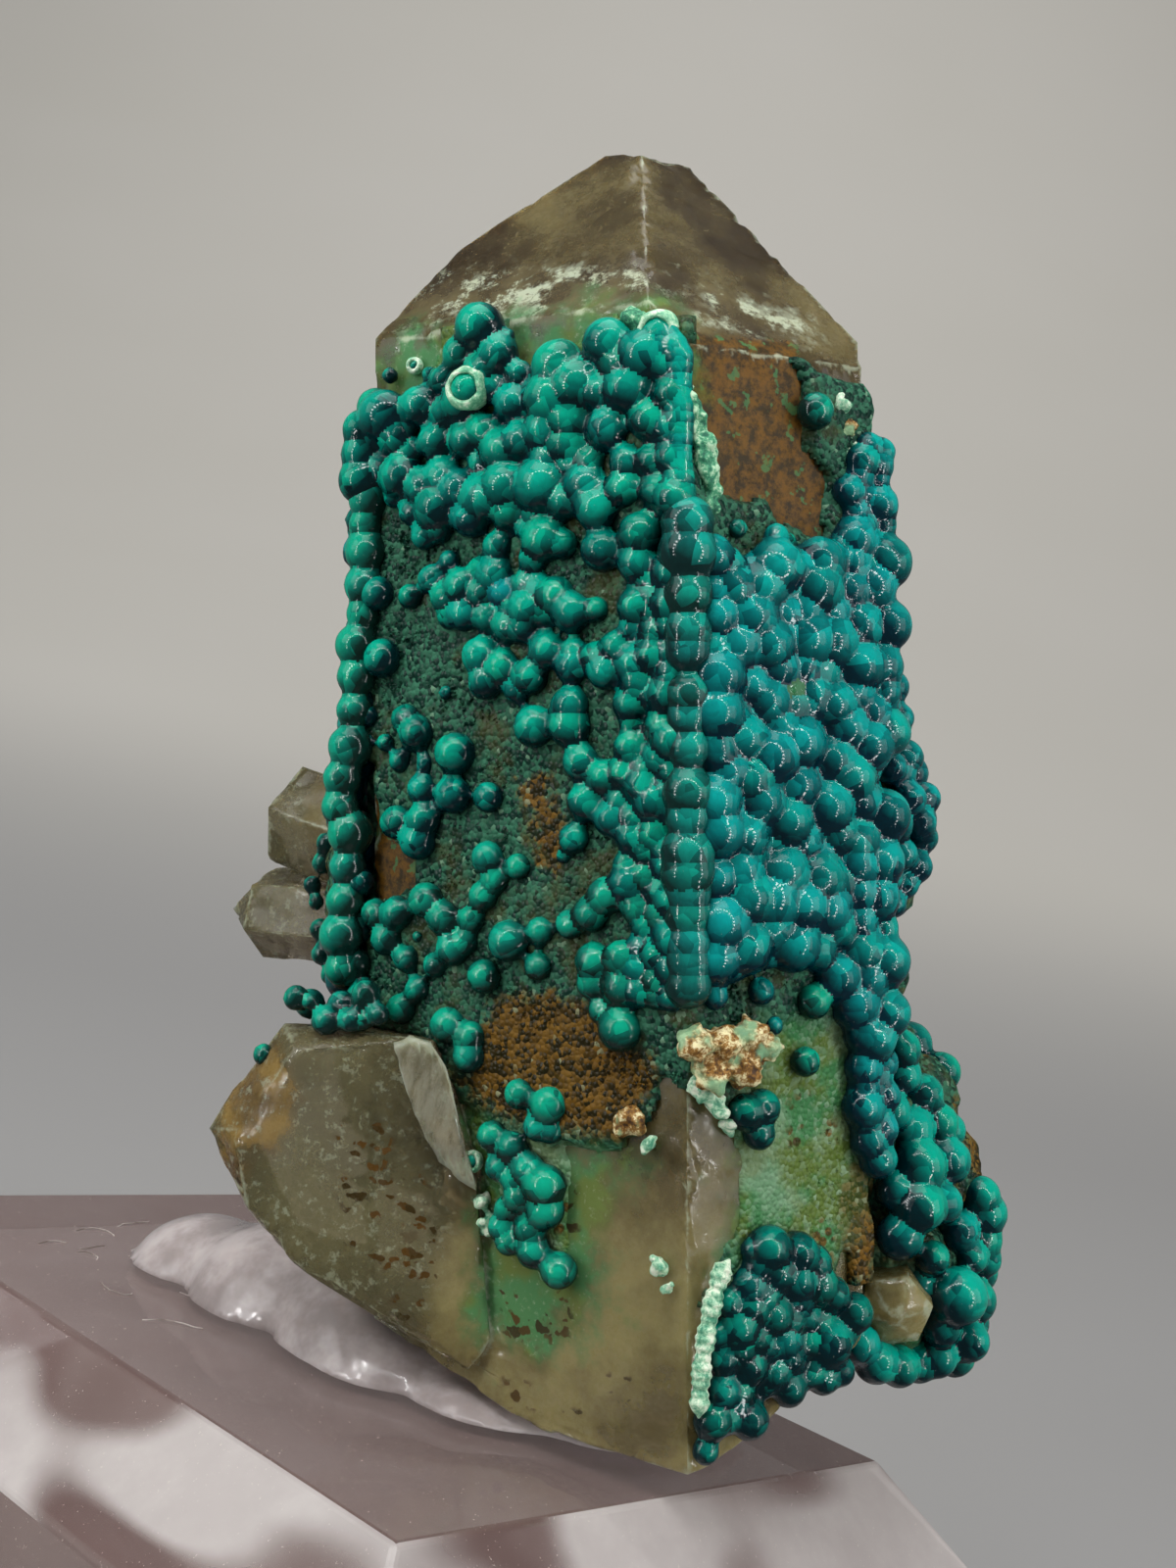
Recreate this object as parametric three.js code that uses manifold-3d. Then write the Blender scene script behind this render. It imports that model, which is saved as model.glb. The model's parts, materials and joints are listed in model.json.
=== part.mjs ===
// A quartz crystal cluster under a botryoidal chrysocolla crust, held by clear putty
// on a bevelled clear acrylic block. Millimetres, +Z up, origin at the centre of the
// block's underside. The side with the tall front edge faces -Y.
//
// The specimen is modelled upright in a group of its own and the whole group leans to
// the left. In that group x runs to the right, y away from the viewer and z along the
// long axis of the main crystal, with the origin half way up its axis.

import * as THREE from 'three';
import { ConvexGeometry } from 'three/addons/geometries/ConvexGeometry.js';
import { mergeVertices } from 'three/addons/utils/BufferGeometryUtils.js';
import Module from 'manifold-3d';

const wasm = await Module();
wasm.setup();

const degrees = THREE.MathUtils.degToRad;

// Acrylic block
const BLOCK_TOP_WIDTH = 25.4;
const BLOCK_TOP_LENGTH = 38.1;
const BLOCK_HEIGHT = 12.7;
const BEVEL_OUT = 3.8;
const BEVEL_DROP = 4.2;
const BLOCK_TURN = degrees(45);

// Place and lean of the specimen on the block
const SPECIMEN_ORIGIN = [5.67, -5.12, 37.0];
const SPECIMEN_LEAN = degrees(11.39);

// Gap kept between pieces that touch
const GAP = 0.3;

// Crust: depth of its even layer, and how far the middle of a ball stands off the quartz
const CRUST_DEPTH = 0.85;
const BALL_STAND_OFF = 0.55;
const EYE_DISTANCE = 77;
const EYE = new THREE.Vector3(0, -EYE_DISTANCE, 0);

// Facets around a ball and from pole to pole
const BALL_SIDES = 5;
const BALL_RINGS = 3;
const BALL_FULLNESS = 1.12;

// Main quartz crystal: each prism face by its outward angle from +x, its distance from
// the axis and the height at which the pyramid face above it starts
const PYRAMID_SLOPE = degrees(38.2);
const PRISM_FACES = {
  frontLeft: { angle: 240, distance: 6.5, shoulder: 17.1 },
  frontRight: { angle: 300, distance: 9.95, shoulder: 15.4 },
  right: { angle: 0, distance: 10.15, shoulder: 16.6 },
  backRight: { angle: 60, distance: 8.3, shoulder: 16.5 },
  backLeft: { angle: 120, distance: 6.5, shoulder: 15.3 },
  left: { angle: 180, distance: 8.2, shoulder: 17.2 },
};

// Broken ends of the main crystal: a direction that the break faces and a point on it
const BREAKS = [
  { facing: [0.16, 0, 1], through: [0.7, 0, 24.9] },
  { facing: [-0.42, 0.05, -0.9], through: [-3.9, -6.2, -22.7] },
  { facing: [0.49, 0.05, -0.87], through: [5.1, -8.8, -23.6] },
  { facing: [0.03, 0.24, -0.97], through: [2.0, -9, -24.1] },
];

// Smaller crystals, six-sided: a point on the axis at each end, the radius across the
// corners, how much of the length the point takes and the turn about the axis in degrees
const BACK_LEFT_UPPER = { from: [-6, 3.5, -3.6], to: [-14.1, 8.2, -0.9], radius: 2.5, point: 0.2, turn: 12 };
const BACK_LEFT_LOWER = { from: [-6, 4.0, -6.0], to: [-15.7, 8.6, -5.4], radius: 2.0, point: 0.18, turn: 40 };
const LOWER_RIGHT = { from: [9.3, 0.6, -9.0], to: [13.5, -0.9, -22.3], radius: 2.6, point: 0.16, turn: 20 };
const BARE_TIP = { from: [11.8, 0, -18.5], to: [11.3, -5.7, -19.9], radius: 1.5, point: 0.14, turn: 8 };
const BEHIND_LEFT = { from: [-1, 3, -17.0], to: [-9.5, 11.2, -11.2], radius: 3.1, point: 0.3, turn: 25 };
const BEHIND_RIGHT = { from: [4, 3, -14.0], to: [10.4, 12.6, -9.6], radius: 2.4, point: 0.3, turn: 5 };
const SIDE_CRYSTALS = [BACK_LEFT_UPPER, BACK_LEFT_LOWER, LOWER_RIGHT, BARE_TIP, BEHIND_LEFT, BEHIND_RIGHT];

// The large clear crystal at the lower left, by its corners: the broad front face first,
// then the point on the left and the corners behind
const CLEAR_CRYSTAL = [
  [-10.9, -5.2, -9.9], [-5.8, -5.7, -9.5], [-4.2, -5.8, -14.5], [-3.6, -5.6, -20.5],
  [-4.4, -5.7, -21.8], [-7.2, -5.7, -18.7], [-9.3, -5.5, -18.5], [-10.8, -5.2, -18.0],
  [-12.7, -4.8, -15.9], [-13.3, -4.6, -13.0], [-11.5, -3.8, -9.1], [-13.0, -3.4, -10.8],
  [-14.5, -3.0, -13.2], [-14.1, -3.1, -14.1], [-13.2, -3.2, -16.0], [-11.0, -3.2, -18.3],
  [-11.4, 0, -9.6], [-12.8, -0.2, -13.2], [-10.8, 0.2, -17.2],
  [-4.0, 1.2, -9.8], [-3.6, 0.4, -19.6], [-3.4, -3.5, -21.4],
];

// The thin shard that lies between the clear crystal and the main one
const SHARD = [
  [-7.2, -6.2, -9.5], [-6.65, -6.3, -9.2], [-5.75, -6.4, -9.5], [-5.2, -6.4, -10.4], [-4.1, -6.4, -14.9],
  [-5.4, -6.3, -14.2], [-6.5, -6.2, -11.9], [-6.2, -4.2, -9.6], [-4.2, -4.4, -14.4],
];

// Balls on the front left face: x, z and radius, as seen from the front
const FRONT_LEFT_BALLS = [
  [-4.05, 17.0, 0.85], [-3.3, 15.9, 0.65], [-4.5, 14.75, 0.8], [-7.25, 13.2, 0.65], [-5.75, 12.9, 0.62],
  [-2.45, 12.55, 0.68], [-0.42, 14.35, 0.88], [-0.67, 13.1, 0.75], [0.72, 15.75, 0.85], [1.42, 14.0, 0.8],
  [0.72, 12.65, 0.7], [2.15, 12.75, 0.65], [3.05, 9.9, 0.7], [-6.2, 11.25, 0.68], [-4.35, 9.9, 0.68],
  [-2.92, 10.0, 0.62], [-0.8, 10.2, 0.62], [0.3, 9.85, 0.75], [0.5, 8.3, 0.7], [1.85, 8.8, 0.72],
  [1.75, 7.75, 0.65], [-4.7, 7.35, 0.62], [-2.2, 6.4, 0.62], [-0.6, 6.15, 0.68], [-7.9, 4.8, 0.85],
  [-4.0, 4.7, 0.65], [-6.5, 1.9, 0.62], [-4.97, 1.1, 0.72], [-1.97, 2.05, 0.7], [-0.66, 2.75, 0.65],
  [-0.66, 2.0, 0.7], [-5.07, -0.45, 0.65], [-6.45, -2.2, 0.65], [0.62, -4.1, 0.62], [-6.12, -4.45, 0.62],
  [-2.93, -5.85, 0.7], [-5.25, -9.1, 0.62], [0.2, -6.45, 0.62], [1.18, -7.35, 0.62], [1.13, -8.85, 0.72],
  [-1.42, -11.75, 0.6], [-1.57, -14.7, 0.7], [-1.54, -15.6, 0.6], [-1.07, -17.7, 0.6],
];

// Balls on the front right face, read the same way
const FRONT_RIGHT_BALLS = [
  [8.3, 13.55, 0.6], [4.9, 7.7, 0.55], [6.33, 6.5, 0.55], [9.0, 6.95, 0.55], [7.0, 5.2, 0.68],
  [8.5, 5.3, 0.8], [9.1, 4.8, 0.6], [9.95, 6.55, 0.55], [7.15, 3.25, 0.62], [8.05, 3.2, 0.75],
  [5.1, 2.25, 0.58], [6.5, 2.3, 0.58], [7.45, 1.8, 0.68], [7.6, 0.5, 0.55], [9.05, 0.4, 0.55],
  [7.4, -0.45, 0.65], [5.68, -2.8, 0.55], [5.6, -5.25, 0.58], [7.2, -5.6, 0.58], [8.15, -8.0, 0.57],
  [6.45, -16.7, 0.75], [7.45, -18.0, 0.7], [5.65, -17.95, 0.55], [8.85, -18.7, 0.62], [6.55, -19.1, 0.65],
  [5.25, -19.4, 0.68], [8.75, -20.5, 0.8], [5.65, -20.8, 0.6], [7.2, -20.75, 0.55], [6.6, -21.2, 0.55],
  [5.55, -11.75, 0.6], [6.2, -11.65, 0.6],
];

// Balls strung along the three upright edges that show. The front edge lists height and
// radius, the left edge x and height, and the right edge x, height and radius. Each list
// becomes x, y, z and radius, as in the lists below.
const FRONT_EDGE_BALLS = [
  [8.9, 0.75], [7.9, 0.85], [6.5, 0.75], [5.2, 0.7], [4.2, 0.65], [3.0, 0.65], [1.9, 0.65], [0.8, 0.65],
  [-0.4, 0.75], [-1.4, 0.65], [-2.6, 0.78], [-3.7, 0.7], [-4.8, 0.65], [-5.9, 0.68], [-7.0, 0.7],
].map(([z, radius]) => [3.45, -10.2, z, radius]);
const LEFT_EDGE_BALLS = [
  [-8.4, 14.4], [-8.55, 12.6], [-8.55, 10.9], [-8.75, 8.9], [-8.75, 7.6], [-8.8, 6.5],
  [-9.1, 5.3], [-9.1, 4.1], [-9.2, 2.8], [-9.4, 1.4], [-9.8, 0.2], [-9.85, -0.9],
  [-9.4, -1.9], [-9.5, -3.2], [-9.6, -4.5], [-9.75, -5.8], [-9.7, -7.1],
].map(([x, z]) => [x, -3.0, z, 0.58]);
const RIGHT_EDGE_BALLS = [
  [10.6, 12.7, 0.6], [10.75, 11.2, 0.55], [10.4, 9.9, 0.55], [10.5, 8.7, 0.6], [10.4, 7.4, 0.7],
  [10.7, 6.0, 0.65], [10.9, 4.7, 0.65], [10.8, 3.5, 0.6], [10.7, 2.4, 0.6], [10.8, 1.4, 0.65],
  [10.6, 0.2, 0.6], [10.6, -1.1, 0.6], [10.8, -2.4, 0.6], [10.3, -3.4, 0.62], [10.5, -4.6, 0.55],
  [10.5, -5.7, 0.55], [10.5, -6.7, 0.55], [10.6, -7.8, 0.55], [10.4, -9.3, 0.78], [10.3, -10.6, 0.65],
  [10.3, -12.0, 0.72], [10.5, -13.3, 0.62],
].map(([x, z, radius]) => [x, -5.9, z, radius]);

// Balls of the bulge on the right face and of the crust on the lower right crystal
const BULGE_BALLS = [
  [11.3, -1.8, -1.0, 1.7], [11.2, -2.6, 1.6, 1.2], [11.1, -2.4, 8.5, 0.8],
  [11.7, -2.5, 8.5, 0.7], [11.8, -2.6, 3.7, 0.8], [11.9, -3.0, 2.5, 0.75], [12.2, -2.6, 1.1, 0.85],
  [12.0, -3.4, 0.2, 0.7], [12.9, -1.6, -0.6, 0.85], [12.5, -2.8, -1.4, 0.8], [12.7, -1.8, -2.2, 0.8],
  [12.2, -2.4, -3.2, 0.75], [11.8, -2.8, -4.3, 0.7], [12.3, -0.4, -1.2, 0.9], [11.8, -0.6, 0.6, 0.9],
];
const LOWER_RIGHT_BALLS = [
  [12.5, -2.4, -14.6, 1.4], [12.4, -3.0, -17.0, 1.4], [11.0, -3.4, -10.8, 1.2],
  [11.6, -4.3, -10.2, 0.6], [11.8, -3.9, -11.2, 0.65], [12.3, -3.0, -12.1, 0.85], [13.6, -1.8, -13.3, 0.7],
  [12.4, -4.4, -14.4, 0.87], [13.7, -3.2, -14.5, 0.7], [11.4, -4.8, -15.2, 0.6], [12.4, -4.8, -15.8, 0.8],
  [13.4, -4.0, -16.2, 0.65], [11.6, -5.0, -16.9, 0.7], [12.9, -4.4, -17.8, 0.55], [15.4, -1.8, -16.2, 0.75],
  [15.4, -1.6, -17.5, 0.7], [15.3, -2.0, -18.6, 0.65], [14.0, -3.8, -19.4, 0.95], [14.6, -2.6, -21.2, 0.7],
  [13.4, -2.6, -22.0, 0.65], [14.2, -1.4, -22.2, 0.65], [10.9, -4.0, -21.3, 0.9], [10.9, -3.8, -19.9, 0.8],
  [10.2, -4.9, -20.7, 0.9], [11.4, -3.2, -18.9, 0.9], [15.2, 0.4, -19.8, 0.75], [14.9, 0.8, -17.4, 0.8],
  [14.2, 1.4, -15.0, 0.8], [13.2, 2.2, -12.6, 0.8],
];

// Balls at the foot, by the back left crystals and on the top edge of the clear crystal
const STRAY_BALLS = [
  [4.4, -9.4, -22.6, 0.8], [3.5, -9.7, -23.1, 0.75], [4.3, -9.3, -23.4, 0.85],
  [-11.5, 2.8, -4.4, 0.75], [-11.4, 2.4, -5.9, 0.6], [-11.3, 1.6, -7.1, 0.6],
  [-10.9, -4.2, -8.4, 0.75], [-9.8, -4.5, -8.8, 0.7], [-8.6, -4.9, -8.8, 0.7], [-10.6, -2.8, -8.5, 0.9],
  [-9.3, -3.6, -8.3, 0.9], [-8.0, -4.3, -8.7, 0.8], [-8.8, 0.2, 12.0, 1.0], [-9.1, -0.7, 8.2, 1.0],
  [-9.4, 1.0, 4.6, 1.1], [-9.9, -0.5, 1.2, 1.1], [-10.7, 2.2, -3.4, 0.75], [-10.6, 2.0, -5.0, 0.75],
  [-10.5, 1.2, -6.6, 0.75], [-10.6, 2.6, -1.8, 0.7],
];

// The ribbed mint ribbon beside the lower cluster: x and z from top to bottom
const RIBBON = [[4.7, -17.2], [4.35, -18.2], [4.1, -19.3], [3.95, -20.4], [3.9, -21.5]];
const RIBBON_RADIUS = 0.6;

// Windows in the crust where the quartz is bare, and patches that carry lower clusters:
// corners x and z on a face
const RIGHT_FACE_WINDOWS = [
  [[4.1, 17.5], [7.2, 17.5], [8.6, 12.1], [8.5, 10.6], [7.4, 9.4], [4.6, 10.1]],
  [[7.0, -9.0], [9.3, -8.9], [9.6, -21], [7.0, -21]],
  [[2.6, -12.9], [7.2, -12.9], [7.2, -21], [2.6, -21]],
  [[2.6, -11.4], [4.4, -11.4], [5.4, -13.2], [2.6, -13.2]],
];
const LEFT_FACE_WINDOWS = [
  [[-8.8, 0.2], [-8.0, 0.2], [-7.2, -3.0], [-7.4, -4.3], [-8.8, -4.3]],
  [[-9.9, -9.6], [-5.5, -11.6], [4.4, -11.2], [4.4, -21], [-9.9, -21]],
];
const LEFT_FACE_PATCH = [[-4.4, -10.6], [-0.8, -10.6], [-0.6, -17.9], [-1.5, -18.2], [-3.4, -17.3]];
const RIGHT_FACE_PATCH = [
  [4.4, -16.9], [7.2, -16.3], [10.2, -18.2], [10.2, -21.6], [7.0, -22.1], [3.5, -23.4],
];
const WINDOW_REACH = 4;

// Bounds of the crust's even layer: its foot, its sloping top, and its left side, which
// thickens downwards
const LAYER_FOOT = -16.8;
const LAYER_BOUNDS = [
  { facing: [-0.46, 0, 1], through: [-8.9, 0, 15.4] },
  { facing: [0.05, 0, 1], through: [0, 0, 16.8] },
  { facing: [0.72, 0, 1], through: [10.9, 0, 13.3] },
  { facing: [-1, 0, 0.096], through: [-10.3, 0, 0] },
];

// Balls of the faces that look away, set out in staggered rows
const HIDDEN_FACES = ['right', 'backRight', 'backLeft'];
const HIDDEN_ROWS = { spacing: 4.3, radius: 1.05, low: -15.2, high: 12.5 };

// Ochre crumb of limonite on the front edge, as lumps x, z and radius
const LIMONITE_LUMPS = [
  [3.7, -9.2, 0.75], [4.7, -9.3, 0.8], [5.7, -9.1, 0.75],
  [6.4, -9.5, 0.65], [4.3, -10.3, 0.75], [5.5, -10.2, 0.8],
];

// Clear putty: flattened lumps on the block's top, as x, y, radius and height
const PUTTY_LUMPS = [
  [-16.6, 7.6, 3.8, 3.0], [-12.6, 4.6, 4.8, 4.2], [-8.0, -1.2, 3.5, 2.6], [-7.6, 1.8, 6.0, 4.7],
  [0.2, 0.2, 6.6, 4.4], [0.6, 5.0, 6.4, 5.4], [-3.6, -2.4, 4.2, 2.6],
];
const PUTTY_DETAIL = 1;
const HEX_SIDES = 6;

// Seeded random numbers from 0 to 1
function seeded(seed) {
  let state = seed;
  return () => {
    state = (state * 16807) % 2147483647;
    return state / 2147483647;
  };
}

// Closed solid of a three.js geometry, with its shared corners merged
function solidOf(geometry) {
  const plain = geometry.clone();
  plain.deleteAttribute('normal');
  plain.deleteAttribute('uv');
  const merged = mergeVertices(plain, 1e-4);
  const positions = new Float32Array(merged.attributes.position.array);
  const corners = new Uint32Array(merged.index.array);
  return new wasm.Manifold(new wasm.Mesh({ numProp: 3, vertProperties: positions, triVerts: corners }));
}

function geometryOf(solid) {
  const mesh = solid.getMesh();
  const geometry = new THREE.BufferGeometry();
  const positions = new Float32Array(mesh.numVert * 3);
  for (let i = 0; i < mesh.numVert; i += 1) {
    positions.set(mesh.vertProperties.subarray(i * mesh.numProp, i * mesh.numProp + 3), i * 3);
  }
  geometry.setAttribute('position', new THREE.BufferAttribute(positions, 3));
  geometry.setIndex(new THREE.BufferAttribute(new Uint32Array(mesh.triVerts), 1));
  const faceted = geometry.toNonIndexed();
  faceted.computeVertexNormals();
  return faceted;
}

function joined(solids) {
  return solids.reduce((whole, solid) => whole.add(solid));
}

function vector(values) {
  return new THREE.Vector3(...values);
}

// Plane as an outward normal and a distance, from the direction it faces and a point on it
function planeOf({ facing, through }) {
  const normal = vector(facing).normalize();
  return { normal, distance: normal.dot(vector(through)) };
}

// Corners where three planes meet, as far as no other plane cuts them off
function cornersOf(planes) {
  const corners = [];
  const count = planes.length;
  for (let a = 0; a < count; a += 1) {
    for (let b = a + 1; b < count; b += 1) {
      for (let c = b + 1; c < count; c += 1) {
        const [p, q, r] = [planes[a], planes[b], planes[c]];
        const cross = q.normal.clone().cross(r.normal);
        const volume = p.normal.dot(cross);
        if (Math.abs(volume) > 1e-6) {
          const point = cross.multiplyScalar(p.distance);
          point.add(r.normal.clone().cross(p.normal).multiplyScalar(q.distance));
          point.add(p.normal.clone().cross(q.normal).multiplyScalar(r.distance));
          point.divideScalar(volume);
          if (planes.every((plane) => plane.normal.dot(point) < plane.distance + 1e-5)) {
            corners.push(point);
          }
        }
      }
    }
  }
  return corners;
}

// Outward planes of the hull around a set of points
function planesOf(points) {
  const position = new ConvexGeometry(points).attributes.position;
  const planes = [];
  for (let i = 0; i < position.count; i += 3) {
    const [a, b, c] = [0, 1, 2].map((step) => new THREE.Vector3().fromBufferAttribute(position, i + step));
    const normal = b.clone().sub(a).cross(c.clone().sub(a)).normalize();
    const known = planes.some((plane) => plane.normal.dot(normal) > 0.9999);
    if (!known && normal.lengthSq() > 0.5) {
      planes.push({ normal, distance: normal.dot(a) });
    }
  }
  return planes;
}

function hull(points) {
  return solidOf(new ConvexGeometry(points));
}

// Hull of points with every face moved out by the same amount
function grownHull(points, amount) {
  const planes = planesOf(points).map(({ normal, distance }) => ({ normal, distance: distance + amount }));
  return hull(cornersOf(planes));
}

// Main crystal: prism faces, the pyramid faces above them and the broken ends
function faceNormal(face) {
  const angle = degrees(face.angle);
  return new THREE.Vector3(Math.cos(angle), Math.sin(angle), 0);
}

function prismPlanes(amount) {
  const faces = Object.values(PRISM_FACES);
  return faces.map((face) => ({ normal: faceNormal(face), distance: face.distance + amount }));
}

function mainCrystalPoints() {
  const planes = prismPlanes(0);
  for (const face of Object.values(PRISM_FACES)) {
    const normal = faceNormal(face).multiplyScalar(Math.cos(PYRAMID_SLOPE));
    normal.z = Math.sin(PYRAMID_SLOPE);
    const distance = face.distance * Math.cos(PYRAMID_SLOPE) + face.shoulder * Math.sin(PYRAMID_SLOPE);
    planes.push({ normal, distance });
  }
  return cornersOf([...planes, ...BREAKS.map(planeOf)]);
}

// A six-sided crystal with a pointed end
function sideCrystalPoints({ from, to, radius, point, turn }) {
  const start = vector(from);
  const end = vector(to);
  const axis = end.clone().sub(start).normalize();
  const across = new THREE.Vector3(0, 0, 1).cross(axis).normalize();
  const over = axis.clone().cross(across);
  const shoulder = start.clone().lerp(end, 1 - point);
  const points = [end];
  for (let side = 0; side < HEX_SIDES; side += 1) {
    const angle = degrees(turn + side * (360 / HEX_SIDES));
    const arm = across.clone().multiplyScalar(Math.cos(angle) * radius);
    arm.addScaledVector(over, Math.sin(angle) * radius);
    points.push(start.clone().add(arm), shoulder.clone().add(arm));
  }
  return points;
}

// Point on a prism face at the given x and z
function pointOnFace(faceName, x, z) {
  const face = PRISM_FACES[faceName];
  const normal = faceNormal(face);
  return new THREE.Vector3(x, (face.distance - normal.x * x) / normal.y, z);
}

// Middle of a ball that is seen at x and z on a face and stands off it towards the viewer
function ballCentre(faceName, x, z, standOff) {
  const point = pointOnFace(faceName, x, z);
  const sight = EYE.clone().sub(point).normalize();
  return point.addScaledVector(sight, standOff / faceNormal(PRISM_FACES[faceName]).dot(sight));
}

// A ball of flat facets with a corner facing outward, spun a different way each time
const spin = seeded(41);
function ball(centre, radius, outward) {
  const geometry = new THREE.SphereGeometry(radius * BALL_FULLNESS, BALL_SIDES, BALL_RINGS);
  geometry.rotateY(spin() * Math.PI);
  geometry.applyQuaternion(new THREE.Quaternion().setFromUnitVectors(new THREE.Vector3(0, 1, 0), outward));
  geometry.translate(centre.x, centre.y, centre.z);
  return solidOf(geometry);
}

// A slab of the given corners on a face, from inner to outer distance off the quartz
function slabOnFace(faceName, corners, inner, outer) {
  const normal = faceNormal(PRISM_FACES[faceName]);
  const points = corners.flatMap(([x, z]) => [
    pointOnFace(faceName, x, z).addScaledVector(normal, inner),
    pointOnFace(faceName, x, z).addScaledVector(normal, outer),
  ]);
  return hull(points);
}

// The crust's even layer around the main crystal and the lower right one
function layerSolid() {
  const planes = prismPlanes(CRUST_DEPTH).filter(({ normal }) => normal.x > -0.9);
  planes.push({ normal: new THREE.Vector3(0, 0, -1), distance: -LAYER_FOOT }, ...LAYER_BOUNDS.map(planeOf));
  let layer = hull(cornersOf(planes));
  for (const corners of RIGHT_FACE_WINDOWS) {
    layer = layer.subtract(slabOnFace('frontRight', corners, -WINDOW_REACH, WINDOW_REACH));
  }
  for (const corners of LEFT_FACE_WINDOWS) {
    layer = layer.subtract(slabOnFace('frontLeft', corners, -WINDOW_REACH, WINDOW_REACH));
  }
  return joined([
    layer,
    grownHull(sideCrystalPoints(LOWER_RIGHT), CRUST_DEPTH),
    slabOnFace('frontLeft', LEFT_FACE_PATCH, 0, CRUST_DEPTH),
    slabOnFace('frontRight', RIGHT_FACE_PATCH, 0, CRUST_DEPTH),
  ]);
}

// Balls of the hidden faces, in staggered rows with a little wander
function hiddenBalls() {
  const random = seeded(7);
  const balls = [];
  for (const name of HIDDEN_FACES) {
    const face = PRISM_FACES[name];
    const normal = faceNormal(face);
    const along = new THREE.Vector3(-normal.y, normal.x, 0);
    const neighbours = prismPlanes(0).filter((plane) => plane.normal.dot(normal) > 0.4);
    let row = 0;
    for (let z = HIDDEN_ROWS.low; z < HIDDEN_ROWS.high; z += HIDDEN_ROWS.spacing) {
      for (let step = -6; step <= 6; step += 1) {
        const shift = (step + 0.5 * (row % 2) + 0.3 * (random() - 0.5)) * HIDDEN_ROWS.spacing;
        const centre = normal.clone().multiplyScalar(face.distance + BALL_STAND_OFF);
        centre.addScaledVector(along, shift);
        centre.z = z + 0.6 * (random() - 0.5) * HIDDEN_ROWS.spacing;
        const reach = BALL_STAND_OFF + 0.1;
        const inside = neighbours.every((plane) => plane.normal.dot(centre) < plane.distance + reach);
        const radius = HIDDEN_ROWS.radius * (0.8 + 0.4 * random());
        if (inside && centre.y > -4.5) {
          balls.push(ball(centre, radius, normal));
        }
      }
      row += 1;
    }
  }
  return balls;
}

function faceBalls(faceName, list) {
  const normal = faceNormal(PRISM_FACES[faceName]);
  return list.map(([x, z, radius]) => {
    const centre = ballCentre(faceName, x, z, BALL_STAND_OFF + 0.2 * radius);
    return ball(centre, radius, normal);
  });
}

// Balls placed freely, which face away from the given axis point at their own height
function freeBalls(list, axis = [0, 0]) {
  return list.map(([x, y, z, radius]) => {
    const outward = new THREE.Vector3(x - axis[0], y - axis[1], 0).normalize();
    return ball(new THREE.Vector3(x, y, z), radius, outward);
  });
}

// Quartz: every crystal grown into one solid, and the same with room for the crust
const crystalHulls = [mainCrystalPoints(), CLEAR_CRYSTAL.map(vector), SHARD.map(vector)];
crystalHulls.push(...SIDE_CRYSTALS.map(sideCrystalPoints));
const quartz = joined(crystalHulls.map(hull));
const quartzRoom = joined(crystalHulls.map((points) => grownHull(points, GAP)));

// Limonite crumb, and the room it takes out of the crust
const limoniteCentres = LIMONITE_LUMPS.map(([x, z, radius]) => {
  const faceName = x < 3.43 ? 'frontLeft' : 'frontRight';
  return { centre: ballCentre(faceName, x, z, 0.75), radius };
});
const crumbFacing = new THREE.Vector3(0, -1, 0);
const limoniteLumps = limoniteCentres.map(({ centre, radius }) => ball(centre, radius, crumbFacing));
const limonite = joined(limoniteLumps).subtract(quartzRoom);
const limoniteRoomGap = GAP * 1.5;
const limoniteRoom = joined(
  limoniteCentres.map(({ centre, radius }) => ball(centre, radius + limoniteRoomGap, crumbFacing)),
);

// Chrysocolla crust: layer, balls and ribbon in one solid, cut to the quartz
const ribbon = RIBBON.map(([x, z]) => [x, z, RIBBON_RADIUS]);
const crustWhole = joined([
  layerSolid(),
  ...faceBalls('frontLeft', FRONT_LEFT_BALLS),
  ...faceBalls('frontRight', FRONT_RIGHT_BALLS),
  ...freeBalls(FRONT_EDGE_BALLS),
  ...freeBalls(LEFT_EDGE_BALLS),
  ...freeBalls(RIGHT_EDGE_BALLS),
  ...freeBalls(BULGE_BALLS),
  ...freeBalls(LOWER_RIGHT_BALLS, [12.5, 0.5]),
  ...freeBalls(STRAY_BALLS),
  ...faceBalls('frontRight', ribbon),
  ...hiddenBalls(),
]);
const crust = crustWhole.subtract(quartzRoom).subtract(limoniteRoom);

// Putty: flattened lumps standing on the block, cut flat below and to the quartz above
function puttySolid() {
  const slope = Math.tan(SPECIMEN_LEAN);
  const restHeight = (BLOCK_HEIGHT - SPECIMEN_ORIGIN[2]) / Math.cos(SPECIMEN_LEAN);
  const lumps = PUTTY_LUMPS.map(([x, y, radius, height]) => {
    const geometry = new THREE.IcosahedronGeometry(1, PUTTY_DETAIL);
    geometry.scale(radius, radius, height);
    geometry.rotateY(SPECIMEN_LEAN);
    geometry.translate(x, y, restHeight - slope * x);
    return solidOf(geometry);
  });
  const below = new THREE.BoxGeometry(120, 120, 40);
  below.translate(0, 0, restHeight * Math.cos(SPECIMEN_LEAN) + GAP - 20);
  below.rotateY(SPECIMEN_LEAN);
  return joined(lumps).subtract(solidOf(below)).subtract(quartzRoom);
}

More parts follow.
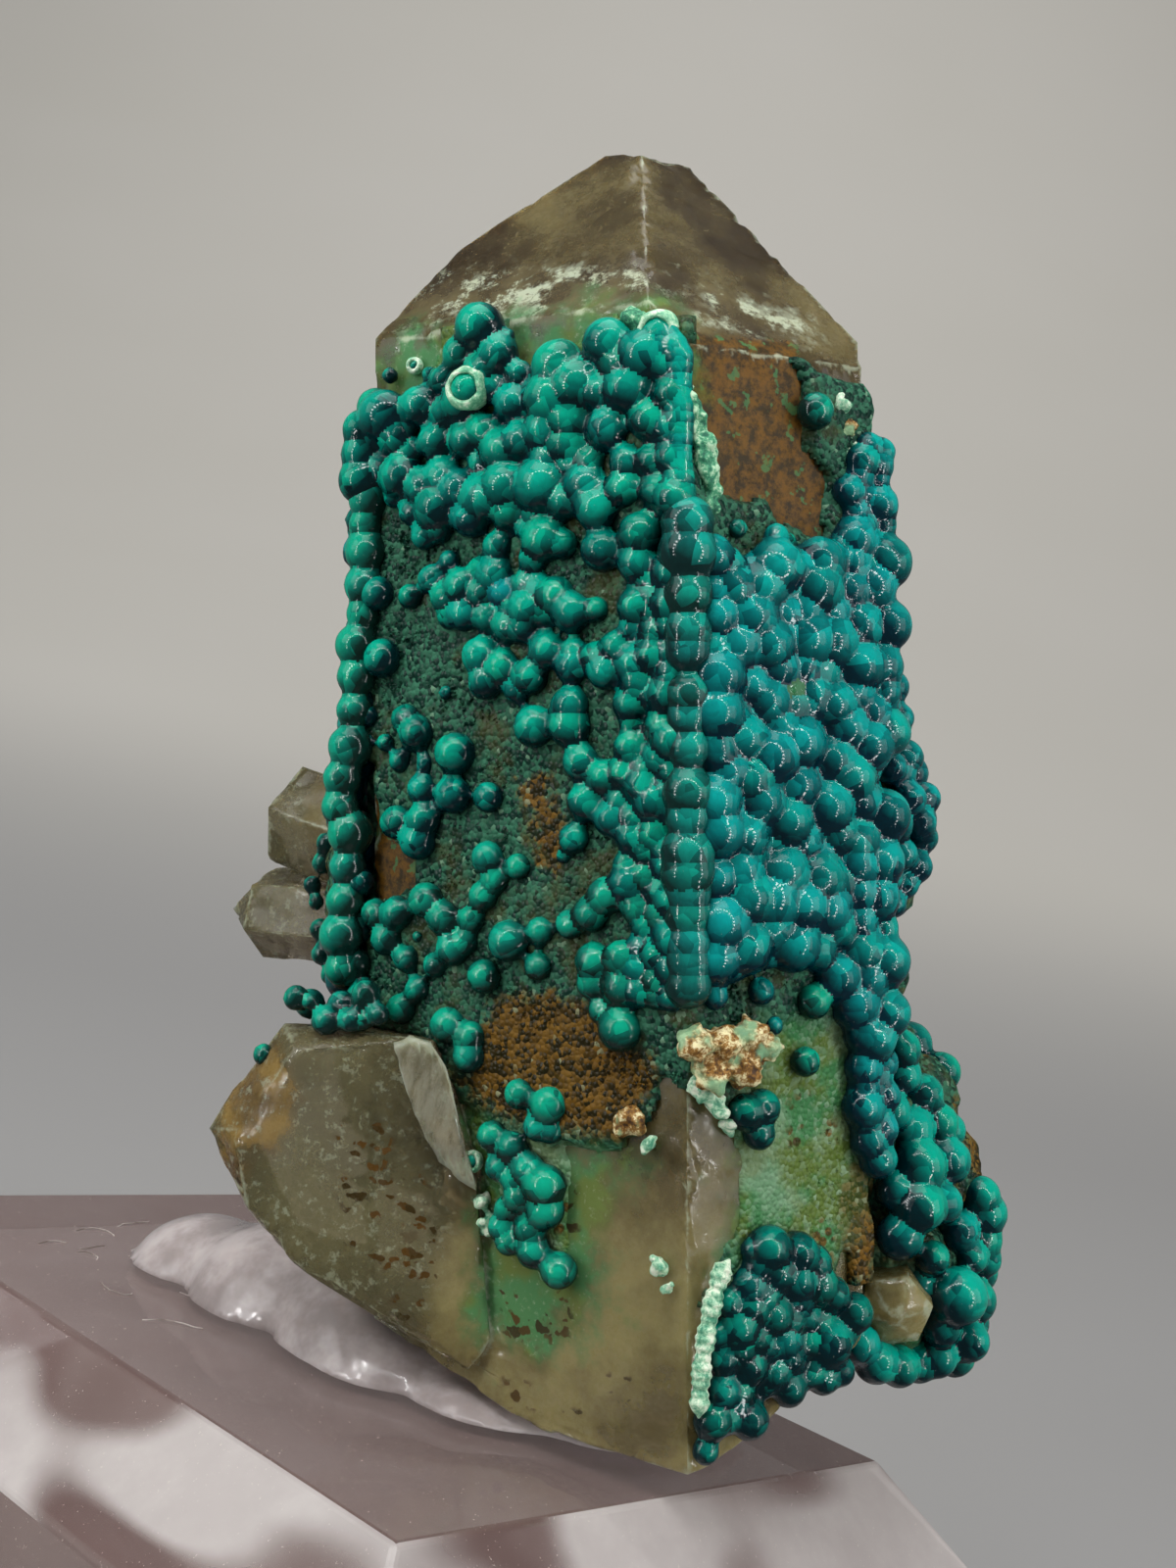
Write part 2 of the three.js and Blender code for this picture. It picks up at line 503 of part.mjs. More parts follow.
function blockGeometry() {
  const points = [];
  for (const signX of [-1, 1]) {
    for (const signY of [-1, 1]) {
      const topX = (signX * BLOCK_TOP_WIDTH) / 2;
      const topY = (signY * BLOCK_TOP_LENGTH) / 2;
      const sideX = topX + signX * BEVEL_OUT;
      const sideY = topY + signY * BEVEL_OUT;
      points.push(new THREE.Vector3(topX, topY, BLOCK_HEIGHT));
      points.push(new THREE.Vector3(sideX, sideY, BLOCK_HEIGHT - BEVEL_DROP));
      points.push(new THREE.Vector3(sideX, sideY, 0));
    }
  }
  return new ConvexGeometry(points);
}

function finish(color, roughness, opacity = 1) {
  const transparent = opacity < 1;
  return new THREE.MeshStandardMaterial({ color, roughness, metalness: 0, opacity, transparent });
}

function piece(name, geometry, material) {
  const mesh = new THREE.Mesh(geometry, material);
  mesh.name = name;
  return mesh;
}

const whole = new THREE.Group();
const block = piece('acrylic_base', blockGeometry(), finish(0xe6ebee, 0.05, 0.35));
block.rotation.z = BLOCK_TURN;
whole.add(block);

const specimen = new THREE.Group();
specimen.position.set(...SPECIMEN_ORIGIN);
specimen.rotation.y = -SPECIMEN_LEAN;
specimen.add(piece('quartz_crystals', geometryOf(quartz), finish(0x6e5c42, 0.25)));
specimen.add(piece('chrysocolla_crust', geometryOf(crust), finish(0x00735f, 0.25)));
specimen.add(piece('limonite_crumb', geometryOf(limonite), finish(0xb08a3c, 0.85)));
specimen.add(piece('mounting_putty', geometryOf(puttySolid()), finish(0xc9cbc6, 0.3, 0.7)));
whole.add(specimen);

export default whole;
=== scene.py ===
"""Quartz crystals under a botryoidal chrysocolla crust, on a clear display block.

The specimen has a frame of its own, in millimetres: x to the right, y away from the viewer
and z along the main crystal. PLACE moves that frame to the row frame, in metres.
"""

import json
import logging
import math
from dataclasses import dataclass, field
from enum import Enum
from typing import Any, Iterable, Iterator, Sequence

import bmesh
import bpy
import numpy as np
from mathutils import Matrix, Quaternion, Vector

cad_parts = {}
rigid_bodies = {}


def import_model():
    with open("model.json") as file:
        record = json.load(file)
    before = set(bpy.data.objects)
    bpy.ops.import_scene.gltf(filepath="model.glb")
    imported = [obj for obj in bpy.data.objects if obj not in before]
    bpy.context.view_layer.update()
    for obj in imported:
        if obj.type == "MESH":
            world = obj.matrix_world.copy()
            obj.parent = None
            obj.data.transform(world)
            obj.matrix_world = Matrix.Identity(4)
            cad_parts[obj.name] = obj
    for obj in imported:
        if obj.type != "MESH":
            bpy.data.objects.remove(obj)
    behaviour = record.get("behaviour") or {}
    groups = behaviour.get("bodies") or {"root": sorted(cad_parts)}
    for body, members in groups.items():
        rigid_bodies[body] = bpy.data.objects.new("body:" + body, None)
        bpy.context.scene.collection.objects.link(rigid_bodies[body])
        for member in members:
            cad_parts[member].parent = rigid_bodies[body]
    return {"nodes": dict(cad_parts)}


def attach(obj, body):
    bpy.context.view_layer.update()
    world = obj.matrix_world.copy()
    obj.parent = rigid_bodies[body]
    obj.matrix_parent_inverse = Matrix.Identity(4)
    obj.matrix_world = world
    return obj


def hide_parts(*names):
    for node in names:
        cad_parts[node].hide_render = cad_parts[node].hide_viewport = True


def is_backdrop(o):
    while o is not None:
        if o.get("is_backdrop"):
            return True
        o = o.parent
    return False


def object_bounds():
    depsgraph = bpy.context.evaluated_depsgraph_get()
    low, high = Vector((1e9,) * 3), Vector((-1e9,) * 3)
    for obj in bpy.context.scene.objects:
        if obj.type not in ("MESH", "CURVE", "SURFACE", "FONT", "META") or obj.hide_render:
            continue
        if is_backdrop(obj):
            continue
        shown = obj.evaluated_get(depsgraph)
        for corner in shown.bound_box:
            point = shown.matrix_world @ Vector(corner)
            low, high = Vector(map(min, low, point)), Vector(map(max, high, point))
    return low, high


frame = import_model()
CAD_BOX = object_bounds()

LOG = logging.getLogger("specimen")
BODY = "root"
MM = 0.001
TO_METRES = Matrix.Scale(MM, 4)
TO_MILLIMETRES = Matrix.Scale(1.0 / MM, 4)
SPECIMEN_ORIGIN = Vector((5.67, -5.12, 37.0))
LEAN = math.radians(11.39)
PLACE = TO_METRES @ Matrix.Translation(SPECIMEN_ORIGIN) @ Matrix.Rotation(-LEAN, 4, "Y")
EYE = Vector((0.0, -77.0, 0.0))

Colour = tuple[float, float, float, float]
Outline = Sequence[tuple[float, float]]
Spot = tuple[float, float, float]
Pieces = list[bpy.types.Object]
Array = np.ndarray
Mesh = bpy.types.Mesh
Material = bpy.types.Material
Socket = bpy.types.NodeSocket


def rgb(red: float, green: float, blue: float) -> Colour:
    """Turns display values from 0 to 255 into a linear colour.

    Args:
        red: Display value of red.
        green: Display value of green.
        blue: Display value of blue.

    Returns:
        Linear red, green and blue, and an alpha of one.
    """
    linear = []
    for value in (red / 255, green / 255, blue / 255):
        linear.append(value / 12.92 if value <= 0.04045 else ((value + 0.055) / 1.055) ** 2.4)
    return (linear[0], linear[1], linear[2], 1.0)


class Side(Enum):
    """A prism face of the main crystal, by its outward angle in degrees from +x."""

    RIGHT = 0
    BACK_RIGHT = 60
    BACK_LEFT = 120
    LEFT = 180
    FRONT_LEFT = 240
    FRONT_RIGHT = 300

    @property
    def normal(self) -> Vector:
        """Outward direction of the face."""
        angle = math.radians(self.value)
        return Vector((math.cos(angle), math.sin(angle), 0.0))

    @property
    def runs_along(self) -> int:
        """Index of the coordinate across the face: x, or y on the two side faces."""
        return 1 if self in (Side.RIGHT, Side.LEFT) else 0

    @property
    def neighbours(self) -> "tuple[Side, Side]":
        """The faces before and after this one, by angle."""
        around = list(Side)
        index = around.index(self)
        return around[index - 1], around[(index + 1) % len(around)]


class Turbulence:
    """Smooth random field over space that is the same on every run."""

    SIDE_CELLS = 32

    def __init__(self, seed: int) -> None:
        """Fills the lattice from a seed."""
        shape = (self.SIDE_CELLS,) * 3
        self.lattice = np.random.default_rng(seed).uniform(-1.0, 1.0, shape)

    def at(self, points: Array, size: float) -> Array:
        """Samples the field.

        Args:
            points: Places, one in each row.
            size: Distance between lattice points, in the units of the places.

        Returns:
            Values from -1 to 1, one for each place.
        """
        scaled = np.asarray(points, float) / size
        base = np.floor(scaled).astype(int)
        part = scaled - base
        part = part * part * (3.0 - 2.0 * part)
        total = np.zeros(len(scaled))
        for corner in np.ndindex(2, 2, 2):
            index = (base + corner) % self.SIDE_CELLS
            weight = np.prod(np.where(np.array(corner, bool), part, 1.0 - part), axis=1)
            total += weight * self.lattice[index[:, 0], index[:, 1], index[:, 2]]
        return total


def smooth_step(values: Array, low: float, high: float) -> Array:
    """Eases values from 0 at low to 1 at high."""
    share = np.clip((values - low) / (high - low), 0.0, 1.0)
    return share * share * (3.0 - 2.0 * share)


def depth_inside(points: Array, corners: Outline) -> Array:
    """Measures how far flat points lie inside an outline.

    Args:
        points: Flat points, one in each row.
        corners: Corners of the outline in order.

    Returns:
        Distance to the outline, negative outside it.
    """
    loop = np.asarray(corners, float)
    nearest = np.full(len(points), np.inf)
    inside = np.zeros(len(points), bool)
    for start, end in zip(loop, np.roll(loop, -1, axis=0)):
        edge = end - start
        share = np.clip(((points - start) @ edge) / (edge @ edge), 0.0, 1.0)
        gaps = points - start - share[:, None] * edge
        nearest = np.minimum(nearest, np.linalg.norm(gaps, axis=1))
        if start[1] != end[1]:
            crosses = (start[1] > points[:, 1]) != (end[1] > points[:, 1])
            slope = (end[0] - start[0]) / (end[1] - start[1])
            inside ^= crosses & (points[:, 0] < start[0] + (points[:, 1] - start[1]) * slope)
    return np.where(inside, nearest, -nearest)


def chance(seed: int) -> np.random.Generator:
    """Starts a seeded source of random numbers."""
    return np.random.default_rng(seed)


def turn_to(way: Sequence[float]) -> Array:
    """Gives the rotation that takes z to a direction."""
    return np.array(Vector(way).to_track_quat("Z", "Y").to_matrix())


def read_rows(items: Any, key: str) -> Array:
    """Reads one vector from each item of a mesh.

    Args:
        items: Vertices, their normals or the faces of a mesh.
        key: Name of the vector.

    Returns:
        The vectors, one in each row.
    """
    flat = np.zeros(len(items) * 3, np.float32)
    items.foreach_get(key, flat)
    return flat.reshape(-1, 3).astype(float)


def coordinates(mesh: Mesh) -> Array:
    """Reads the places of a mesh's vertices, one in each row."""
    return read_rows(mesh.vertices, "co")


def set_coordinates(mesh: Mesh, places: Array) -> None:
    """Writes the places of a mesh's vertices."""
    mesh.vertices.foreach_set("co", places.astype(np.float32).ravel())
    mesh.update()


def push_out(mesh: Mesh, shift: Array) -> None:
    """Moves each vertex along its normal by a distance of its own."""
    normals = read_rows(mesh.vertex_normals, "vector")
    set_coordinates(mesh, coordinates(mesh) + normals * shift[:, None])


def mesh_of(name: str, places: Array, faces: Iterable[Sequence[int]]) -> Mesh:
    """Builds a mesh with smooth shading.

    Args:
        name: Name of the mesh.
        places: Vertices, one in each row.
        faces: Vertex numbers of each face.

    Returns:
        The mesh.
    """
    mesh = bpy.data.meshes.new(name)
    mesh.from_pydata(np.asarray(places).tolist(), [], [tuple(face) for face in faces])
    mesh.polygons.foreach_set("use_smooth", np.ones(len(mesh.polygons), bool))
    mesh.update()
    return mesh


def poured(name: str, bm: bmesh.types.BMesh) -> Mesh:
    """Turns an edit mesh into a new mesh and frees it.

    Args:
        name: Name of the new mesh.
        bm: The edit mesh.

    Returns:
        The new mesh.
    """
    mesh = bpy.data.meshes.new(name)
    bm.to_mesh(mesh)
    bm.free()
    return mesh


def lump_mesh(
    name: str, lumps: Iterable[tuple[Sequence[float], float]], level: int, solids: Sequence[str] = ()
) -> Mesh:
    """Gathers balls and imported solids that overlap, in the specimen's frame.

    Args:
        name: Name of the mesh.
        lumps: Middle and radius of each ball.
        level: Subdivisions of the balls.
        solids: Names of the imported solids.

    Returns:
        The mesh, still to be remeshed into one skin.
    """
    bm = bmesh.new()
    for node in solids:
        bm.from_mesh(frame["nodes"][node].data)
        bm.transform(PLACE.inverted())
    for middle, radius in lumps:
        ball = bmesh.ops.create_icosphere(bm, subdivisions=level, radius=radius)["verts"]
        bmesh.ops.translate(bm, verts=ball, vec=middle)
    return poured(name, bm)


def tube_places(line: Array, reaches: Iterable[float], sides: int) -> Array:
    """Sets rings of vertices square to a line.

    Args:
        line: Points of the line, one in each row.
        reaches: Radius of the ring at each point.
        sides: Vertices in each ring.

    Returns:
        The vertices, ring by ring.
    """
    angles = np.arange(sides) * 2 * math.pi / sides
    circle = np.stack([np.cos(angles), np.sin(angles), np.zeros(sides)], axis=1)
    ways = np.gradient(line, axis=0)
    rings = [circle * reach @ turn_to(way).T + point for point, way, reach in zip(line, ways, reaches)]
    return np.concatenate(rings)


def tube_faces(rings: int, sides: int, start: int = 0) -> list[tuple[int, ...]]:
    """Joins rings of vertices into a closed tube.

    Args:
        rings: Number of rings.
        sides: Vertices in each ring.
        start: Number of the first vertex.

    Returns:
        Vertex numbers of each face, the two ends last.
    """
    faces: list[tuple[int, ...]] = []
    last = start + (rings - 1) * sides
    for low in range(start, last, sides):
        for i in range(sides):
            j = (i + 1) % sides
            faces.append((low + i, low + j, low + sides + j, low + sides + i))
    faces.append(tuple(start + i for i in reversed(range(sides))))
    faces.append(tuple(last + i for i in range(sides)))
    return faces


def split_long_edges(places: Array, faces: Array, longest: float) -> tuple[Array, Array]:
    """Cuts triangles until no edge is too long.

    Args:
        places: Vertices, one in each row.
        faces: Vertex numbers of each triangle.
        longest: Longest edge that stays.

    Returns:
        Vertices and triangles.
    """
    while True:
        edges = np.sort(np.stack([faces, np.roll(faces, -1, axis=1)], axis=-1), axis=-1)
        unique, inverse = np.unique(edges.reshape(-1, 2), axis=0, return_inverse=True)
        lengths = np.linalg.norm(places[unique[:, 0]] - places[unique[:, 1]], axis=1)
        long = lengths > longest
        if not long.any():
            return places, faces
        middle = np.full(len(unique), -1)
        middle[long] = len(places) + np.arange(long.sum())
        places = np.concatenate([places, places[unique[long]].mean(axis=1)])
        cuts = middle[inverse.reshape(-1, 3)]
        cut_count = (cuts >= 0).sum(axis=1)
        first = np.where(cut_count == 2, (cuts < 0).argmax(axis=1) + 1, (cuts >= 0).argmax(axis=1)) % 3
        order = (first[:, None] + np.arange(3)) % 3
        a, b, c = np.take_along_axis(faces, order, axis=1).T
        ab, bc, ca = np.take_along_axis(cuts, order, axis=1).T
        pieces = [faces[cut_count == 0]]
        one, two, three = cut_count == 1, cut_count == 2, cut_count == 3
        pieces += [np.stack(corners, axis=1)[one] for corners in ((a, ab, c), (ab, b, c))]
        pieces += [np.stack(corners, axis=1)[two] for corners in ((ab, b, bc), (a, ab, bc), (a, bc, c))]
        for corners in ((a, ab, ca), (ab, b, bc), (ca, bc, c), (ab, bc, ca)):
            pieces.append(np.stack(corners, axis=1)[three])
        faces = np.concatenate(pieces)


def add_piece(
    name: str,
    mesh: Mesh,
    material: Material,
    slot: str,
    stands_for: Sequence[str] = (),
    place: Matrix = PLACE,
) -> bpy.types.Object:
    """Adds a finished mesh to the model, as a piece that rides on the body.

    Args:
        name: Name of the piece.
        mesh: Mesh in a frame of its own.
        material: Finish of the piece.
        slot: Material slot of the record; not used.
        stands_for: Solids that the piece replaces.
        place: Matrix from the mesh's frame to the row frame.

    Returns:
        The piece's object.
    """
    mesh.transform(place)
    piece = bpy.data.objects.new(name, mesh)
    bpy.context.scene.collection.objects.link(piece)
    mesh.materials.clear()
    mesh.materials.append(material)
    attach(piece, BODY)
    if stands_for:
        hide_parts(*stands_for)
    return piece


def evaluated(thing: bpy.types.Object) -> Mesh:
    """Applies an object's modifiers and gives the result as a new mesh."""
    graph = bpy.context.evaluated_depsgraph_get()
    return bpy.data.meshes.new_from_object(thing.evaluated_get(graph), depsgraph=graph)


def remeshed(mesh: Mesh, voxel: float) -> Mesh:
    """Rebuilds a closed mesh from even small faces.

    Args:
        mesh: Closed mesh.
        voxel: Size of the faces, in the mesh's units.

    Returns:
        The new mesh.
    """
    helper = bpy.data.objects.new("remesh_helper", mesh)
    bpy.context.scene.collection.objects.link(helper)
    modifier = helper.modifiers.new("even_faces", "REMESH")
    modifier.mode = "VOXEL"
    modifier.voxel_size = voxel
    modifier.use_smooth_shade = True
    result = evaluated(helper)
    bpy.data.objects.remove(helper)
    return result


def relax(mesh: Mesh, times: int, above: float = -math.inf) -> None:
    """Smooths a mesh by moving its vertices halfway towards their neighbours.

    Args:
        mesh: Mesh to smooth.
        times: Number of passes.
        above: Height under which vertices stay where they are.
    """
    bm = bmesh.new()
    bm.from_mesh(mesh)
    for _ in range(times):
        free = [vertex for vertex in bm.verts if vertex.co.z > above]
        bmesh.ops.smooth_vert(bm, verts=free, factor=0.5, use_axis_x=True, use_axis_y=True, use_axis_z=True)
    bm.to_mesh(mesh)
    bm.free()


def drop_specks(mesh: Mesh, fewest: int) -> None:
    """Removes loose parts that are too small to be real.

    Args:
        mesh: Mesh to clean.
        fewest: Fewest vertices that a part may have.
    """
    ends = np.zeros(len(mesh.edges) * 2, np.int32)
    mesh.edges.foreach_get("vertices", ends)
    first, second = ends.reshape(-1, 2).T
    part = np.arange(len(mesh.vertices))
    while True:
        lowest = np.minimum(part[first], part[second])
        merged = part.copy()
        np.minimum.at(merged, first, lowest)
        np.minimum.at(merged, second, lowest)
        merged = merged[merged]
        if (merged == part).all():
            break
        part = merged
    sizes = np.bincount(part, minlength=len(part))[part]
    bm = bmesh.new()
    bm.from_mesh(mesh)
    bm.verts.ensure_lookup_table()
    specks = [bm.verts[index] for index in np.flatnonzero(sizes < fewest)]
    bmesh.ops.delete(bm, geom=specks, context="VERTS")
    bm.to_mesh(mesh)
    bm.free()


class Signal:
    """A socket in shader maths: each operator on it adds a Math node."""

    def __init__(self, graph: "Graph", socket: Socket) -> None:
        """Wraps a socket of a graph."""
        self.graph = graph
        self.socket = socket

    def math(self, operation: str, *others: "Signal | float") -> "Signal":
        """Adds a Math node with this signal first."""
        return self.graph.maths(operation, self, *others)

    def __add__(self, other: "Signal | float") -> "Signal":
        """Adds."""
        return self.math("ADD", other)

    __radd__ = __add__

    def __sub__(self, other: "Signal | float") -> "Signal":
        """Subtracts."""
        return self.math("SUBTRACT", other)

    def __rsub__(self, other: float) -> "Signal":
        """Subtracts this signal from a number."""
        return self.graph.maths("SUBTRACT", other, self)

    def __mul__(self, other: "Signal | float") -> "Signal":
        """Multiplies."""
        return self.math("MULTIPLY", other)

    __rmul__ = __mul__

    def most(self, other: "Signal | float") -> "Signal":
        """Takes the larger of two."""
        return self.math("MAXIMUM", other)

    def least(self, other: "Signal | float") -> "Signal":
        """Takes the smaller of two."""
        return self.math("MINIMUM", other)

    def ease(self, low: float, high: float) -> "Signal":
        """Eases the signal from 0 at low to 1 at high.

        Args:
            low: Value that gives 0.
            high: Value that gives 1.

        Returns:
            The eased signal.
        """
        values = {"Value": self, "From Min": low, "From Max": high}
        node = self.graph.node("ShaderNodeMapRange", {"interpolation_type": "SMOOTHSTEP"}, values)
        return Signal(self.graph, node.outputs["Result"])


class Graph:
    """Node tree of one material."""

    def __init__(self, name: str) -> None:
        """Starts an empty material.

        Args:
            name: Name of the material.
        """
        self.material = bpy.data.materials.new(name)
        self.material.use_nodes = True
        self.tree = self.material.node_tree
        self.tree.nodes.clear()
        self.output = self.tree.nodes.new("ShaderNodeOutputMaterial")
        place = self.node("ShaderNodeTexCoord").outputs["Object"]
        self.place = self.vector("SCALE", place, Scale=1.0 / MM)

    def node(
        self, kind: str, settings: dict[str, Any] | None = None, inputs: dict[str | int, Any] | None = None
    ) -> bpy.types.Node:
        """Adds a node.

        Args:
            kind: Type of the node.
            settings: Properties, set first. "stops" holds a ramp's positions and colours.
            inputs: Values, signals or sockets by socket identifier, name or number. None is left out.

        Returns:
            The node.
        """
        node = self.tree.nodes.new(kind)
        for key, value in (settings or {}).items():
            if key == "stops":
                self.set_stops(node.color_ramp, value)
            else:
                setattr(node, key, value)
        for key, value in (inputs or {}).items():
            target = next((s for s in node.inputs if s.identifier == key), None) or node.inputs[key]
            source = value.socket if isinstance(value, Signal) else value
            if isinstance(source, Socket):
                self.tree.links.new(source, target)
            elif source is not None:
                target.default_value = source
        return node

    @staticmethod
    def set_stops(ramp: bpy.types.ColorRamp, stops: Sequence[tuple[float, Colour]]) -> None:
        """Fills a colour ramp.

        Args:
            ramp: The ramp.
            stops: Positions and colours.
        """
        while len(ramp.elements) < len(stops):
            ramp.elements.new(0.5)
        for element, (position, colour) in zip(ramp.elements, stops):
            element.position = position
            element.color = colour

    def maths(self, operation: str, *values: "Signal | float") -> Signal:
        """Adds a Math node from its operation and its inputs in order."""
        node = self.node("ShaderNodeMath", {"operation": operation}, dict(enumerate(values)))
        return Signal(self, node.outputs["Value"])

    def vector(self, operation: str, first: Any, second: Any = None, **named: Any) -> Socket:
        """Adds a Vector Math node and gives its vector, or its number for a dot product."""
        node = self.node("ShaderNodeVectorMath", {"operation": operation}, {0: first, 1: second} | named)
        return node.outputs["Value" if operation == "DOT_PRODUCT" else "Vector"]

    def mix(self, factor: "Signal | float", first: Any, second: Any) -> Socket:
        """Mixes two colours.

        Args:
            factor: Share of the second colour.
            first: Colour or socket.
            second: Colour or socket.

        Returns:
            The mixed colour's socket.
        """
        inputs = {"Factor_Float": factor, "A_Color": first, "B_Color": second}
        node = self.node("ShaderNodeMix", {"data_type": "RGBA"}, inputs)
        return next(s for s in node.outputs if s.identifier == "Result_Color")

    def ramp(self, value: Signal, stops: Sequence[tuple[float, Colour]]) -> Socket:
        """Looks a value from 0 to 1 up in a colour ramp."""
        return self.node("ShaderNodeValToRGB", {"stops": stops}, {"Fac": value}).outputs["Color"]

    def clouds(self, scale: float, detail: float = 3.0, at: Any = None, stretch: float = 0.5) -> Signal:
        """Samples soft noise from about 0 to 1, in blotches per millimetre."""
        values = {"Vector": at or self.place, "Scale": scale, "Detail": detail, "Roughness": stretch}
        return Signal(self, self.node("ShaderNodeTexNoise", {}, values).outputs["Fac"])

    def cells(self, scale: float, feature: str = "F1", at: Any = None) -> tuple[Signal, Any]:
        """Adds Voronoi cells.

        Args:
            scale: Cells per millimetre.
            feature: Feature that the distance measures.
            at: Place to sample at, or None for the place on the object.

        Returns:
            The distance, and the socket of the cells' colours where the feature has one.
        """
        values = {"Vector": at or self.place, "Scale": scale}
        node = self.node("ShaderNodeTexVoronoi", {"feature": feature}, values)
        return Signal(self, node.outputs["Distance"]), node.outputs.get("Color")

    def channels(self, colour: Socket) -> list[Signal]:
        """Splits a colour into red, green and blue."""
        node = self.node("ShaderNodeSeparateColor", {}, {"Color": colour})
        return [Signal(self, output) for output in node.outputs]

    def axis(self, name: str) -> Signal:
        """Reads one coordinate of the place on the object, in millimetres."""
        return Signal(self, self.node("ShaderNodeSeparateXYZ", {}, {"Vector": self.place}).outputs[name])

    def field(self, name: "Field") -> Signal:
        """Reads a number that is stored on the mesh."""
        return Signal(self, self.node("ShaderNodeAttribute", {"attribute_name": name.value}).outputs["Fac"])

    def directions(self, name: "Field") -> Socket:
        """Reads a vector that is stored on the mesh."""
        return self.node("ShaderNodeAttribute", {"attribute_name": name.value}).outputs["Vector"]

    def bump(self, height: Signal, distance: float, strength: float = 1.0) -> Socket:
        """Adds a Bump node for a relief of so many millimetres."""
        values = {"Height": height, "Distance": distance * MM, "Strength": strength}
        return self.node("ShaderNodeBump", {}, values).outputs["Normal"]

    def surface(self, **inputs: Any) -> Socket:
        """Adds a Principled shader from its inputs, with spaces as underscores."""
        named = {key.replace("_", " "): value for key, value in inputs.items()}
        return self.node("ShaderNodeBsdfPrincipled", {}, named).outputs["BSDF"]

    def blend(self, factor: "Signal | float", first: Any, second: Any) -> Socket:
        """Mixes two shaders, by the share of the second one."""
        return self.node("ShaderNodeMixShader", {}, {"Fac": factor, 1: first, 2: second}).outputs["Shader"]

    def close(self, shader: Socket, absorbs: Colour | None = None, density: float = 0.0) -> Material:
        """Links the shader to the output.

        Args:
            shader: Surface shader.
            absorbs: Colour that the inside lets through, or None for a surface alone.
            density: Density of the absorption for each metre.

        Returns:
            The material.
        """
        self.tree.links.new(shader, self.output.inputs["Surface"])
        if absorbs is not None:
            volume = self.node("ShaderNodeVolumeAbsorption", {}, {"Color": absorbs, "Density": density})
            self.tree.links.new(volume.outputs["Volume"], self.output.inputs["Volume"])
        return self.material


class Field(Enum):
    """Names of the numbers that the meshes carry for their finishes."""

    RUST = "rust"
    GREEN = "green_coat"
    WINDOW = "iron_window"
    FROST = "frost"
    CLEAR = "clear_crystal"
    TIP = "stained_tip"
    FOOT = "pale_foot"
    SHARD = "shard"
    SPOTS = "rust_spots"
    WEAR = "edge_wear"
    BEVEL = "bevel"
    CENTRE = "ball_centre"
    CAP = "ball_cap"
    TINT = "ball_tint"
    SHADE = "ball_shade"
    WARMTH = "ball_warmth"


def store(mesh: Mesh, name: Field, values: Array, domain: str = "POINT") -> None:
    """Stores one number, or one vector, for each vertex or face.

    Args:
        mesh: Mesh that keeps them.
        name: Name that the finish reads them by.
        values: The numbers, or the vectors in rows.
        domain: POINT or FACE.
    """
    values = np.asarray(values, np.float32)
    kind, key = ("FLOAT_VECTOR", "vector") if values.ndim == 2 else ("FLOAT", "value")
    mesh.attributes.new(name.value, kind, domain).data.foreach_set(key, values.ravel())


@dataclass(frozen=True)
class Zone:
    """An outlined area on a prism face, in the face's own coordinate and height."""

    side: Side
    corners: Outline

    def depth(self, points: Array) -> Array:
        """Distance of flat points inside the area, negative outside it."""
        return depth_inside(points, self.corners)


@dataclass(frozen=True)
class MainCrystal:
    """The tall crystal: distances of its prism faces from the axis, and limits of its stain fields."""

    distances: dict[Side, float] = field(
        default_factory=lambda: {
            Side.RIGHT: 10.15,
            Side.BACK_RIGHT: 8.3,
            Side.BACK_LEFT: 6.5,
            Side.LEFT: 8.2,
            Side.FRONT_LEFT: 6.5,
            Side.FRONT_RIGHT: 9.95,
        }
    )
    deepest: float = 3.0
    backing: float = 4.0

    def on_face(self, side: Side, along: float, height: float, proud: float = 0.0) -> Vector:
        """Finds a point on a prism face.

        Args:
            side: The face.
            along: Coordinate across the face.
            height: Coordinate z.
            proud: Distance off the face.

        Returns:
            The point.
        """
        normal = side.normal
        axis = side.runs_along
        place = Vector((0.0, 0.0, height))
        place[axis] = along
        other = 1 - axis
        place[other] = (self.distances[side] - normal[axis] * along) / normal[other]
        return place + normal * proud

    def seen_on_face(self, side: Side, x: float, z: float, proud: float) -> Vector:
        """Finds the middle of a ball that is seen at x and z on a face and stands off it.

        Args:
            side: The face.
            x: Where the ball is seen on the face.
            z: Height at which it is seen.
            proud: Distance of its middle off the face.

        Returns:
            The middle.
        """
        point = self.on_face(side, x, z)
        sight = (EYE - point).normalized()
        return point + sight * (proud / side.normal.dot(sight))

    def corner(self, first: Side, second: Side) -> Vector:
        """Finds the point at height 0 where two prism faces meet.

        Args:
            first: One face.
            second: The face beside it.

        Returns:
            The point, in the specimen's frame.
        """
        a, b = first.normal, second.normal
        da, db = self.distances[first], self.distances[second]
        scale = a.x * b.y - a.y * b.x
        return Vector(((da * b.y - db * a.y) / scale, (a.x * db - b.x * da) / scale, 0.0))

    def depth_in(self, zones: Sequence[Zone], places: Array, reach: float = 0.9) -> Array:
        """Measures how far places lie inside any of the zones.

        Args:
            zones: Areas on prism faces.
            places: Points of the specimen, one in each row.
            reach: Distance off a face within which its zones count.

        Returns:
            Distance inside the nearest zone, negative outside.
        """
        result = np.full(len(places), -self.deepest)
        for zone in zones:
            off = places @ np.array(zone.side.normal) - self.distances[zone.side]
            flat = places[:, [zone.side.runs_along, 2]]
            near = (off < reach) & (off > -self.backing * reach)
            result = np.maximum(result, np.where(near, zone.depth(flat), -self.deepest))
        return np.clip(result, -self.deepest, self.deepest)


MAIN = MainCrystal()


